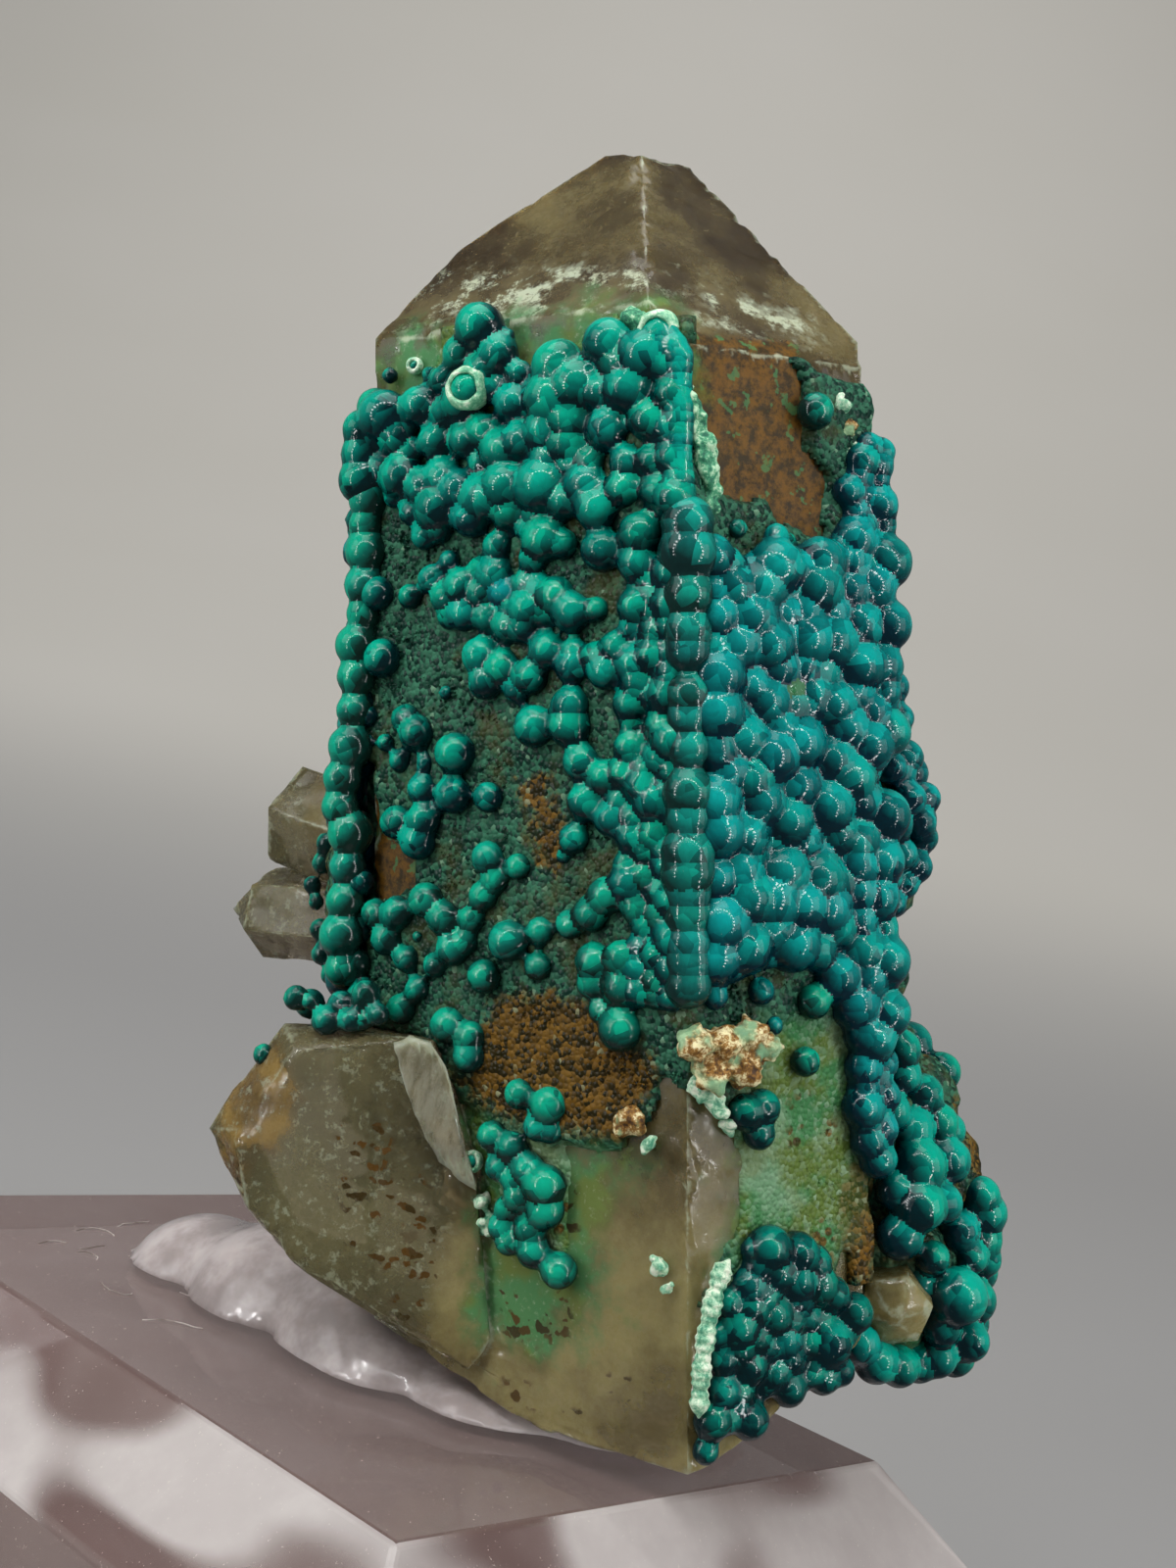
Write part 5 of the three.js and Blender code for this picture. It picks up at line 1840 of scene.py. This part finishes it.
    @staticmethod
    def joined(collection: bpy.types.Collection) -> Mesh:
        """Joins every mesh of a collection into one closed mesh.

        Args:
            collection: Closed meshes.

        Returns:
            Their union.
        """
        tree = bpy.data.node_groups.new("join", "GeometryNodeTree")
        tree.interface.new_socket("Geometry", in_out="OUTPUT", socket_type="NodeSocketGeometry")
        parts = tree.nodes.new("GeometryNodeCollectionInfo")
        parts.inputs["Collection"].default_value = collection
        parts.inputs["Separate Children"].default_value = True
        union = tree.nodes.new("GeometryNodeMeshBoolean")
        union.operation = "UNION"
        union.solver = "MANIFOLD"
        result = tree.nodes.new("NodeGroupOutput")
        tree.links.new(parts.outputs[0], union.inputs["Mesh 2"])
        tree.links.new(union.outputs["Mesh"], result.inputs[0])
        host = bpy.data.objects.new("join_host", bpy.data.meshes.new("join_host"))
        bpy.context.scene.collection.objects.link(host)
        host.modifiers.new("join", "NODES").node_group = tree
        mesh = evaluated(host)
        bpy.data.objects.remove(host)
        bpy.data.node_groups.remove(tree)
        return mesh


@dataclass(frozen=True)
class Shell:
    """A broken ball on the front left face: an open bowl with a pale rim, seen at x and z."""

    x: float
    z: float
    radius: float
    opening: float
    proud: float

    @property
    def middle(self) -> Vector:
        """Middle of the bowl in the specimen's frame."""
        return MAIN.seen_on_face(Side.FRONT_LEFT, self.x, self.z, self.proud)


SHELLS = (
    Shell(-4.5, 14.75, 0.85, 0.75, 1.0),
    Shell(-6.6, 15.9, 0.34, 0.7, 0.2),
    Shell(2.5, 15.9, 0.8, 0.7, 0.4),
    Shell(-4.3, -14.1, 0.42, 0.8, 0.5),
)


@dataclass
class CrustBalls:
    """All the balls of the crust, in groups."""

    hidden_spacing: float = 1.25
    hidden_radius: float = 0.62
    hidden_voxel: float = 0.2
    hidden_gap: float = -0.28
    teal_share: float = 0.6
    edge_swell: float = 1.3
    bulge_swell: float = 0.12
    lower_swell: float = 0.22
    lip_count: int = 18
    left_heights: tuple[float, float] = (-8.5, 13.0)
    right_heights: tuple[float, float] = (-15.0, 12.5)

    def build(self) -> Pieces:
        """Builds and dresses every group.

        Returns:
            The pieces, in order.
        """
        finish = BallFinish().build()
        groups = [self.left_face(), self.right_face(), self.edges(), self.lower_right()]
        for side, name, seed in (
            (Side.RIGHT, "balls_right_side", 71), (Side.BACK_RIGHT, "balls_back_right", 72),
            (Side.BACK_LEFT, "balls_back_left", 73), (Side.LEFT, "balls_left_side", 74),
        ):
            groups.append(self.hidden(side, name, seed))
        return [group.build(finish) for group in groups]

    def left_face(self) -> BallField:
        """Places the balls of the front left face.

        Returns:
            The group.
        """
        group = BallField("balls_front_left", seed=31, softness=4)
        for places, tone in (
            (LEFT_TOP, Tone.TEAL), (LEFT_MIDDLE, Tone.TEAL), (LEFT_BRIGHT, Tone.BRIGHT),
            (LEFT_LOWER, Tone.MINT), (LEFT_EXTRA, Tone.TEAL),
        ):
            group.add_seen(Side.FRONT_LEFT, places, tone)
        group.fill(Zone(Side.FRONT_LEFT, DENSE_LEFT[0]), Tone.TEAL, (0.82, 1.12))
        for shell in SHELLS:
            group.add(shell.middle, shell.radius * 0.86, Tone.PALE)
        lip = [
            (min(2.5 + 0.25 * i, 3.2), 16.0 - 0.36 * i, 0.42 + 0.05 * math.sin(0.9 * i))
            for i in range(self.lip_count)
        ]
        group.add_seen(Side.FRONT_LEFT, lip, Tone.LIGHT)
        for corners in DENSE_LEFT[1:]:
            group.fill(Zone(Side.FRONT_LEFT, corners), Tone.TEAL)
        return group

    def right_face(self) -> BallField:
        """Places the balls of the front right face.

        Returns:
            The group.
        """
        group = BallField("balls_front_right", seed=32, softness=4, crowding=0.48)
        group.fill(Zone(Side.FRONT_RIGHT, DENSE_RIGHT[0]), Tone.BLUE, (0.80, 1.10))
        for places, tone in (
            (RIGHT_BLUE, Tone.BLUE), (RIGHT_GREEN, Tone.MINT), (RIGHT_OLIVE, Tone.OLIVE),
            # The lower cluster takes a tone of painted shade.
            (LOWER_CLUSTER, Tone.DEEP),
        ):
            group.add_seen(Side.FRONT_RIGHT, places, tone)
        for corners in DENSE_RIGHT[:3]:
            group.fill(Zone(Side.FRONT_RIGHT, corners), Tone.BLUE)
        # The fill of the lower cluster is painted in shade too.
        group.fill(Zone(Side.FRONT_RIGHT, DENSE_RIGHT[3]), Tone.DEEP, (0.6, 0.85))
        return group

    def edges(self) -> BallField:
        """Places the columns down the front, left and right edges, and the strays beside the side crystals.

        Returns:
            The group.
        """
        group = BallField("balls_edges", seed=33, softness=3)
        column = [(3.45, -10.0, z, radius * self.edge_swell) for z, radius in FRONT_EDGE]
        group.add_free(column, Tone.EDGE)
        for index, (x, z) in enumerate(LEFT_EDGE):
            group.add((x + 0.1, -3.1, z), 0.80 + 0.1 * math.sin(2.2 * index), Tone.LEAF)
            group.add((x + 0.15, -2.0, z - 0.5), 0.80 + 0.1 * math.sin(1.7 * index + 1.0), Tone.BLUE)
        for index, z in enumerate(np.arange(-14.2, 11.2, 0.82)):
            sway = 0.18 * math.sin(1.3 * index)
            group.add((10.5 + sway, -4.3, z), 0.60 + 0.1 * math.sin(2.6 * index), Tone.BLUE)
        group.add_free(STRAYS, Tone.MINT)
        return group

    def lower_right(self) -> BallField:
        """Places the balls of the bulge on the right and of the lower right crystal.

        Returns:
            The group.
        """
        group = BallField("balls_lower_right", seed=34, softness=3)
        group.add_free([(*place, radius + self.bulge_swell) for *place, radius in BULGE], Tone.BLUE)
        group.add_free([(*place, radius + self.lower_swell) for *place, radius in LOWER_RIGHT], Tone.LIGHT)
        return group

    def hidden(self, side: Side, name: str, seed: int) -> BallField:
        """Balls of a face that looks away, in wandering rows with gaps.

        Args:
            side: The face.
            name: Name of the piece.
            seed: Seed of its random numbers.

        Returns:
            The group.
        """
        group = BallField(name, seed=seed, voxel=self.hidden_voxel)
        before, after = side.neighbours
        start, end = MAIN.corner(before, side), MAIN.corner(side, after)
        gaps = Turbulence(seed)
        low, high = self.left_heights if side in (Side.LEFT, Side.BACK_LEFT) else self.right_heights
        for z in np.arange(low, high, self.hidden_spacing):
            for along in np.arange(0.4, (end - start).length, self.hidden_spacing):
                wander = group.random.uniform(-0.45, 0.45, 2)
                radius = self.hidden_radius * group.random.uniform(0.65, 1.2)
                place = start + (end - start).normalized() * (along + wander[0])
                place = place + side.normal * (0.35 + 0.35 * radius) + Vector((0, 0, z + wander[1]))
                bare = gaps.at(np.array([place]), 3.4)[0] < self.hidden_gap
                in_view = side in (Side.RIGHT, Side.LEFT) and place.y < -3.6
                if not bare and not in_view:
                    tone = Tone.TEAL if group.random.uniform() < self.teal_share else Tone.BLUE
                    group.add(place, radius, tone)
        return group


@dataclass
class Grains:
    """Tiny crystals standing on the druse of the two front faces."""

    count: int = 8200
    size: float = 0.085
    spare: float = 2.2
    root: float = 0.34
    height: float = 0.33
    coat_height: float = 0.1
    coat_size: float = 0.7
    tip: float = 1.35
    heights: tuple[float, float] = (-18.0, 16.5)
    spans: Sequence[tuple[Side, float, float, float]] = (
        (Side.FRONT_LEFT, -8.2, 3.4, 0.62), (Side.FRONT_RIGHT, 3.4, 10.1, 0.38),
    )

    def build(self) -> Pieces:
        """Builds and dresses the grains.

        Returns:
            The pieces, in order.
        """
        random = chance(91)
        ring = [(math.cos(a), math.sin(a), 0.0) for a in np.arange(4) * math.pi / 2]
        unit = np.array(ring + [(0, 0, self.tip), (0, 0, 0)])
        shape = np.array([(i, (i + 1) % 4, 4) for i in range(4)] + [((i + 1) % 4, i, 5) for i in range(4)])
        grains, faces = [], []
        for side, start, end, share in self.spans:
            tries = round(self.count * share * self.spare)
            seeds = zip(random.uniform(start, end, tries), random.uniform(*self.heights, tries))
            base = np.array([MAIN.on_face(side, along, height) for along, height in seeds])
            coated = MAIN.depth_in(GREEN_ZONES, base, 0.2) > 0
            kept = (ragged_cover(FRONT_COVER, base) > 0.4) & (~coated | (random.uniform(size=tries) < 0.5))
            for place, thin in list(zip(base[kept], coated[kept]))[: round(self.count * share)]:
                size = self.size * random.uniform(0.6, 1.5) * (self.coat_size if thin else 1.0)
                tilt = Quaternion(Vector(random.normal(size=3)).normalized(), random.uniform(0, 0.9))
                turn = tilt @ side.normal.to_track_quat("Z", "Y")
                grain = unit * size @ np.array(turn.to_matrix()).T
                grain[-1] = side.normal * -self.root
                proud = side.normal * (self.coat_height if thin else self.height)
                faces.append(shape + len(grains) * len(unit))
                grains.append(grain + np.array(Vector(place) + proud))
        places = np.concatenate(grains)
        mesh = mesh_of("druse_grains", places, np.concatenate(faces).tolist())
        mesh.polygons.foreach_set("use_smooth", np.zeros(len(mesh.polygons), bool))
        store_stains(mesh, places)
        return [add_piece("druse_grains", mesh, DruseFinish().build(), "chrysocolla")]


@dataclass
class Shells:
    """Broken balls that stand open, with mint rims."""

    wall: float = 0.13
    segments: int = 40
    rings: int = 9
    towards_eye: float = 0.9
    unevenness: float = 0.08
    torn_rim: float = 0.12

    def build(self) -> Pieces:
        """Builds and dresses the shells.

        Returns:
            The pieces, in order.
        """
        ragged = Turbulence(45)
        places, faces = [], []
        for shell in SHELLS:
            middle = shell.middle
            way = Side.FRONT_LEFT.normal + (EYE - middle).normalized() * self.towards_eye
            bowl = self.bowl(shell)
            faces.extend(tube_faces(2 * self.rings, self.segments, len(places) * len(bowl)))
            bowl *= 1.0 + self.unevenness * ragged.at(bowl + np.array(middle) * 2.0, 0.45)[:, None]
            bowl[:, 2] += self.torn_rim * ragged.at(bowl + np.array(middle), 0.25) * (bowl[:, 2] > 0)
            places.append(bowl @ turn_to(way.normalized()).T + np.array(middle))
        mesh = mesh_of("broken_shells", np.concatenate(places), faces)
        return [add_piece("broken_shells", mesh, CrumbFinish(CrumbTone.LIP).build(), "chrysocolla")]

    def bowl(self, shell: Shell) -> Array:
        """Turns the wall of a bowl around its axis.

        Args:
            shell: The bowl.

        Returns:
            Its vertices with the axis along z, the outer wall first.
        """
        outer = np.linspace(math.pi * 0.98, shell.opening, self.rings)
        thin = shell.radius - self.wall
        rows = [(math.sin(a) * shell.radius, math.cos(a) * shell.radius) for a in outer]
        rows += [(math.sin(a) * thin, math.cos(a) * thin) for a in outer[::-1]]
        turns = np.linspace(0, 2 * math.pi, self.segments, endpoint=False)
        return np.array([(r * math.cos(t), r * math.sin(t), h) for r, h in rows for t in turns])


@dataclass(frozen=True)
class Ribbon:
    """Ribbed mint ribbon beside the lower cluster."""

    route: Outline = (
        (5.0, -16.9), (4.7, -17.3), (4.4, -18.2), (4.15, -19.3), (3.98, -20.4), (3.9, -21.5), (3.85, -22.3)
    )
    radius: float = 0.36
    proud: float = 0.75
    rib_spacing: float = 0.31
    rib_height: float = 0.025
    lump_spacing: float = 1.15
    lump_share: float = 0.28
    end_length: float = 0.4
    steps: int = 130
    segments: int = 14

    def build(self) -> Pieces:
        """Builds and dresses the ribbon.

        Returns:
            The pieces, in order.
        """
        points = [MAIN.seen_on_face(Side.FRONT_RIGHT, x, z, self.proud) for x, z in self.route]
        lengths = np.cumsum([0.0] + [(b - a).length for a, b in zip(points, points[1:])])
        along = np.linspace(0, lengths[-1], self.steps)
        line = np.stack([np.interp(along, lengths, [p[i] for p in points]) for i in range(3)], axis=1)
        lump = 1.0 - self.lump_share + self.lump_share * np.abs(np.sin(math.pi * along / self.lump_spacing))
        rib = self.rib_height * np.sin(2 * math.pi * along / self.rib_spacing)
        taper = np.clip(np.minimum(along, lengths[-1] - along) / self.end_length, 0.0, 1.0) * 0.9 + 0.1
        places = tube_places(line, (self.radius * lump + rib) * taper, self.segments)
        mesh = mesh_of("mint_ribbon", places, tube_faces(self.steps, self.segments))
        return [add_piece("mint_ribbon", mesh, CrumbFinish(CrumbTone.WHITE).build(), "chrysocolla")]


FRONT_EDGE_X = 3.4
OCHRE_CRUMBS = ((1.5, -12.2, .6), (9.55, 13.0, .42), (9.9, 11.4, .32))
WHITE_CRUMBS = (
    (8.4, -4.3, .4), (9.6, -4.3, .25), (7.1, -4.3, .22), (2.4, -17.0, .4), (2.8, -17.8, .25),
    (9.4, 14.0, .45), (9.7, 12.3, .3), (4.5, -11.3, .55), (3.9, -10.7, .5), (5.0, -12.2, .35),
    (6.6, -9.4, .3), (2.1, -12.8, .35), (-4.0, -15.6, .45), (-3.8, -16.4, .4),
)


def fringe(count: int = 22, top: float = 16.5, low: float = 9.8) -> list[Spot]:
    """Lays mint crumbs down the front edge, beside the iron window.

    Args:
        count: Number of crumbs.
        top: Height of the first one.
        low: Height of the last one.

    Returns:
        x, z and radius of the crumbs, from the top down.
    """
    across = np.interp(np.arange(count), (0, 6, 12, 21), (1.6, 3.1, 3.8, 4.45))
    return [(x, z, 0.42 + 0.06 * math.sin(1.3 * z)) for x, z in zip(across, np.linspace(top, low, count))]


@dataclass
class Crumbs:
    """Ragged crumbs of one kind, each grown from a few lumps."""

    name: str
    tone: CrumbTone
    slot: str
    places: Sequence[Spot]
    stands_for: Sequence[str] = ()
    voxel: float = 0.1
    pitting: float = 0.2
    seed: int = 51
    lumps_each: int = 6
    spread: float = 0.6

    def build(self) -> Pieces:
        """Builds and dresses the crumbs.

        Returns:
            The pieces, in order.
        """
        mesh = remeshed(lump_mesh(self.name, self.lumps(), 2, self.stands_for), self.voxel)
        places = coordinates(mesh)
        pits = Turbulence(self.seed + 1)
        ragged = pits.at(places, 0.55) + 0.6 * pits.at(places, 0.24)
        push_out(mesh, self.pitting * (np.abs(ragged) - 0.45))
        return [add_piece(self.name, mesh, CrumbFinish(self.tone).build(), self.slot, self.stands_for)]

    def lumps(self) -> Iterator[tuple[Vector, float]]:
        """Scatters the lumps of every crumb.

        Returns:
            Middle and radius of each lump.
        """
        random = chance(self.seed)
        for x, z, radius in self.places:
            side = Side.FRONT_LEFT if x < FRONT_EDGE_X else Side.FRONT_RIGHT
            middle = MAIN.seen_on_face(side, x, z, 0.22 + 0.3 * radius)
            for _ in range(self.lumps_each):
                offset = Vector(random.uniform(-self.spread, self.spread, 3) * radius)
                yield middle + offset, radius * random.uniform(0.4, 0.75)


@dataclass
class RustyMatrix:
    """Rough rusty ground that the lower right balls and two clusters on the left grow from."""

    lumps: Sequence[tuple[float, float, float, float]] = (
        (11.3, -1.6, -10.6, 1.7), (12.6, -0.6, -12.6, 2.0), (11.4, -2.6, -13.2, 1.9),
        (13.4, -0.9, -15.2, 2.1), (11.8, -2.8, -15.6, 1.8), (13.8, -1.0, -18.0, 2.0),
        (12.0, -2.6, -18.2, 1.9), (13.4, -1.4, -20.4, 1.9), (11.4, -2.4, -20.6, 1.8),
        (10.6, -2.6, -17.0, 1.8), (11.6, -0.6, -4.0, 1.5), (11.8, -0.8, -1.4, 1.8),
        (11.6, -0.8, 1.0, 1.4), (11.2, -0.8, -7.4, 1.4), (-9.3, 1.9, -3.2, 1.4), (-9.5, 1.9, -4.8, 1.3),
        (-9.3, 1.7, -6.6, 1.4),
    )
    voxel: float = 0.16
    roughness: float = 0.22

    def build(self) -> Pieces:
        """Builds and dresses the ground.

        Returns:
            The pieces, in order.
        """
        lumps = [(place, radius) for *place, radius in self.lumps]
        mesh = remeshed(lump_mesh("rusty_matrix", lumps, 3), self.voxel)
        places = coordinates(mesh)
        ragged = Turbulence(66)
        push_out(mesh, self.roughness * (ragged.at(places, 1.0) + 0.5 * ragged.at(places, 0.4)))
        for name, seed, less in ((Field.GREEN, 68, 0.5), (Field.RUST, 67, 0.1)):
            store(mesh, name, 0.9 * Turbulence(seed).at(places, 1.9) - less)
        return [add_piece("rusty_matrix", mesh, DruseFinish().build(), "chrysocolla")]


@dataclass
class PuttyBed:
    """Soft tack between the specimen and the block."""

    voxel: float = 0.3
    smoothing: int = 60
    swell: float = 0.04
    still_below: float = 13.15
    swell_heights: tuple[float, float] = (13.1, 13.6)

    def build(self) -> Pieces:
        """Builds and dresses the putty.

        Returns:
            The pieces, in order.
        """
        source = frame["nodes"]["mounting_putty"].data.copy()
        source.transform(TO_MILLIMETRES)
        mesh = remeshed(source, self.voxel)
        relax(mesh, self.smoothing, self.still_below)
        places = coordinates(mesh)
        lumps = Turbulence(61)
        rise = self.swell * (lumps.at(places, 2.2) + 0.4 * lumps.at(places, 0.8))
        push_out(mesh, rise * smooth_step(places[:, 2], *self.swell_heights))
        finish = PuttyFinish().build()
        return [add_piece("putty_bed", mesh, finish, "clear_putty", ["mounting_putty"], TO_METRES)]


@dataclass
class DisplayBlock:
    """Clear block, with its polished edges slightly rounded."""

    edge_radius: float = 0.22
    segments: int = 3
    slopes: tuple[float, float] = (0.1, 0.97)

    def build(self) -> Pieces:
        """Builds and dresses the block, which lets light through to the floor under it.

        Returns:
            The pieces, in order.
        """
        bm = bmesh.new()
        bm.from_mesh(frame["nodes"]["acrylic_base"].data)
        bm.transform(TO_MILLIMETRES)
        bmesh.ops.remove_doubles(bm, verts=bm.verts, dist=1e-4)
        bmesh.ops.dissolve_limit(bm, angle_limit=math.radians(1.0), verts=bm.verts, edges=bm.edges)
        bmesh.ops.bevel(
            bm, geom=bm.edges[:], offset=self.edge_radius, segments=self.segments, profile=0.5, affect="EDGES"
        )
        bm.normal_update()
        upward = np.array([face.normal.z for face in bm.faces])
        mesh = poured("display_block", bm)
        store(mesh, Field.BEVEL, (upward > self.slopes[0]) & (upward < self.slopes[1]), "FACE")
        finish = AcrylicFinish().build()
        block = add_piece("display_block", mesh, finish, "clear_acrylic", ["acrylic_base"], TO_METRES)
        block.visible_shadow = False
        return [block]


@dataclass
class Lint:
    """Fine fibres that have settled on the block."""

    count: int = 26
    radius: float = 0.022
    steps: int = 16
    sides: int = 5
    top: float = 12.72
    lift: float = 0.05
    bend: float = 0.28
    spread: tuple[float, float] = (9.5, 15.0)

    def build(self) -> Pieces:
        """Builds and dresses the fibres.

        Returns:
            The pieces, in order.
        """
        random = chance(88)
        places, faces = [], []
        for _ in range(self.count):
            line = self.fibre(random)
            tube = tube_places(line, [self.radius] * len(line), self.sides)
            faces.extend(tube_faces(len(line), self.sides, len(places) * len(tube)))
            places.append(tube)
        mesh = mesh_of("lint", np.concatenate(places), faces)
        return [add_piece("lint", mesh, LintFinish().build(), "clear_acrylic", place=TO_METRES)]

    def fibre(self, random: np.random.Generator) -> Array:
        """Lays one wandering fibre.

        Args:
            random: Source of random numbers.

        Returns:
            Its points, one in each row.
        """
        along, across = random.uniform(-1, 1, 2) * (self.spread[1], self.spread[0])
        start = np.array([(across - along) * math.sqrt(0.5), (across + along) * math.sqrt(0.5)])
        heading = random.uniform(0, 2 * math.pi)
        step = random.uniform(0.06, 0.16)
        line = [np.array([*start, self.top])]
        for index in range(self.steps):
            heading += random.normal(0, self.bend)
            ahead = line[-1][:2] + step * np.array([math.cos(heading), math.sin(heading)])
            line.append(np.array([*ahead, self.top + self.lift * math.sin(math.pi * index / self.steps)]))
        return np.array(line)


@dataclass(frozen=True)
class Softbox:
    """A rectangular light: places and sizes in millimetres, power in watts."""

    name: str
    place: Spot
    size: tuple[float, float]
    power: float
    aim: Spot = tuple(SPECIMEN_ORIGIN)
    mirrored: bool = True

    def build(self) -> None:
        """Adds the light, which glossy surfaces show only if it is mirrored."""
        lamp = bpy.data.lights.new(self.name, "AREA")
        lamp.shape = "RECTANGLE"
        lamp.size, lamp.size_y = self.size[0] * MM, self.size[1] * MM
        lamp.energy = self.power
        light = bpy.data.objects.new(self.name, lamp)
        light.location = Vector(self.place) * MM
        light.rotation_euler = (Vector(self.aim) - Vector(self.place)).to_track_quat("-Z", "Y").to_euler()
        light.visible_glossy = self.mirrored
        bpy.context.scene.collection.objects.link(light)


SOFTBOXES = (
    Softbox("overhead", (-60, -60, 330), (260, 260), 0.60),
    Softbox("left_fill", (-330, -160, 160), (240, 240), 0.36),
    Softbox("right_fill", (330, -120, 120), (200, 240), 0.24),
    Softbox("backdrop_wash", (0, 200, 620), (500, 200), 2.3, (0, 640, 240), mirrored=False),
)


@dataclass
class Studio:
    """Camera, soft lights and a pale sweep."""

    focal_length: float = 44.28
    camera_place: Spot = (5.67, -82.12, 36.14)
    camera_roll: float = math.radians(11.39)
    camera_pitch: float = math.radians(0.65)
    ring_distance: float = 120.0
    ring_spread: float = math.radians(54.0)
    ring_count: int = 18
    ring_start: float = -22.0
    ring_step: float = 13.0
    ring_power: float = 0.009
    sweep_radius: float = 0.7
    sweep_back: float = 0.05
    sweep_reach: float = 1.6
    sweep_drop: float = 0.0002
    sweep_shaded_low: Colour = rgb(148, 147, 146)
    sweep_lit_high: Colour = rgb(190, 187, 179)
    sweep_lit_blotch: Colour = rgb(195, 192, 186)
    surround: Colour = (0.80, 0.80, 0.80, 1.0)
    surround_strength: float = 0.17

    def build(self) -> None:
        """Builds the studio."""
        bpy.context.scene.view_settings.view_transform = "Standard"
        self.set_camera()
        self.add_sweep()
        self.add_ring()
        for softbox in SOFTBOXES:
            softbox.build()
        self.set_world()

    def set_camera(self) -> None:
        """Places the camera at the photograph's viewing angle."""
        look = Vector((0.0, math.cos(self.camera_pitch), math.sin(self.camera_pitch)))
        across = Vector((math.cos(self.camera_roll), 0.0, math.sin(self.camera_roll)))
        up = across.cross(look).normalized()
        across = look.cross(up)
        turn = Matrix((across, up, -look)).transposed().to_4x4()
        lens = bpy.data.cameras.new("camera")
        lens.lens = self.focal_length
        lens.sensor_width = 36.0
        lens.clip_start = 0.001
        camera = bpy.data.objects.new("camera", lens)
        camera.matrix_world = Matrix.Translation(Vector(self.camera_place) * MM) @ turn
        bpy.context.scene.collection.objects.link(camera)
        bpy.context.scene.camera = camera

    def add_sweep(self) -> None:
        """Adds a pale floor that curves up into a backdrop and isn't mirrored in glossy pieces, painted
        darker low down and lighter with broad blotches up the wall: painted falloff of light.
        """
        radius, back, reach = self.sweep_radius, self.sweep_back, self.sweep_reach
        profile = [(-reach, 0.0), (back, 0.0)]
        for step in range(1, 13):
            angle = math.radians(90 * step / 12)
            profile.append((back + radius * math.sin(angle), radius * (1 - math.cos(angle))))
        profile.append((back + radius, reach))
        places = [(x, y, z - self.sweep_drop) for y, z in profile for x in (-reach, reach)]
        faces = [(2 * i, 2 * i + 1, 2 * i + 3, 2 * i + 2) for i in range(len(profile) - 1)]
        mesh = mesh_of("sweep", np.array(places), faces)
        g = Graph("pale_sweep")
        # Painted light: darker towards the floor, lighter and blotchy up the wall.
        upper = g.mix(g.clouds(0.01, 2.0), self.sweep_lit_high, self.sweep_lit_blotch)
        tone = g.mix(g.axis("Z").ease(5.0, 43.0), self.sweep_shaded_low, upper)
        mesh.materials.append(g.close(g.surface(Base_Color=tone, Roughness=0.9)))
        sweep = bpy.data.objects.new("sweep", mesh)
        bpy.context.scene.collection.objects.link(sweep)
        sweep.visible_glossy = False
        sweep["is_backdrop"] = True

    def add_ring(self) -> None:
        """Adds an open ring of small softboxes around the line of sight."""
        for step in range(self.ring_count):
            angle = math.radians(self.ring_start + self.ring_step * step)
            around = Vector((math.cos(angle), 0.0, math.sin(angle)))
            way = Vector((0, -1, 0)) * math.cos(self.ring_spread) + around * math.sin(self.ring_spread)
            place = tuple(SPECIMEN_ORIGIN + way * self.ring_distance)
            Softbox(f"ring_{step}", place, (12.0, 9.0), self.ring_power).build()

    def set_world(self) -> None:
        """Sets a soft grey surround."""
        world = bpy.data.worlds.new("surround")
        world.use_nodes = True
        back = world.node_tree.nodes["Background"]
        back.inputs["Color"].default_value = self.surround
        back.inputs["Strength"].default_value = self.surround_strength
        bpy.context.scene.world = world


def main() -> None:
    """Builds every piece in order."""
    logging.basicConfig(level=logging.INFO, format="%(message)s")
    Studio().build()
    front = (Side.LEFT, Side.FRONT_LEFT, Side.FRONT_RIGHT, Side.RIGHT)
    back = (Side.BACK_RIGHT, Side.BACK_LEFT)
    assemblies = (
        DisplayBlock(),
        PuttyBed(),
        Lint(),
        Quartz(),
        DruseSheet("druse_front", front, 0.2, FRONT_COVER + RIGHT_COVER, ["chrysocolla_crust"]),
        DruseSheet("druse_back", back, 0.3, BACK_COVER),
        Grains(),
        RustyMatrix(),
        CrustBalls(),
        Shells(),
        Ribbon(),
        Crumbs("mint_fringe", CrumbTone.MINT, "chrysocolla", fringe(), pitting=0.05, seed=57),
        Crumbs("limonite", CrumbTone.OCHRE, "limonite", OCHRE_CRUMBS, ["limonite_crumb"]),
        Crumbs("pale_crumbs", CrumbTone.WHITE, "chrysocolla", WHITE_CRUMBS, seed=55),
    )
    for assembly in assemblies:
        for piece in assembly.build():
            LOG.info("%s: %d faces", piece.name, len(piece.data.polygons))

    boxes = {"cad": CAD_BOX, "visual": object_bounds()}
    {name: [list(corner) for corner in box] for name, box in boxes.items()}


if __name__ == "__main__":
    main()
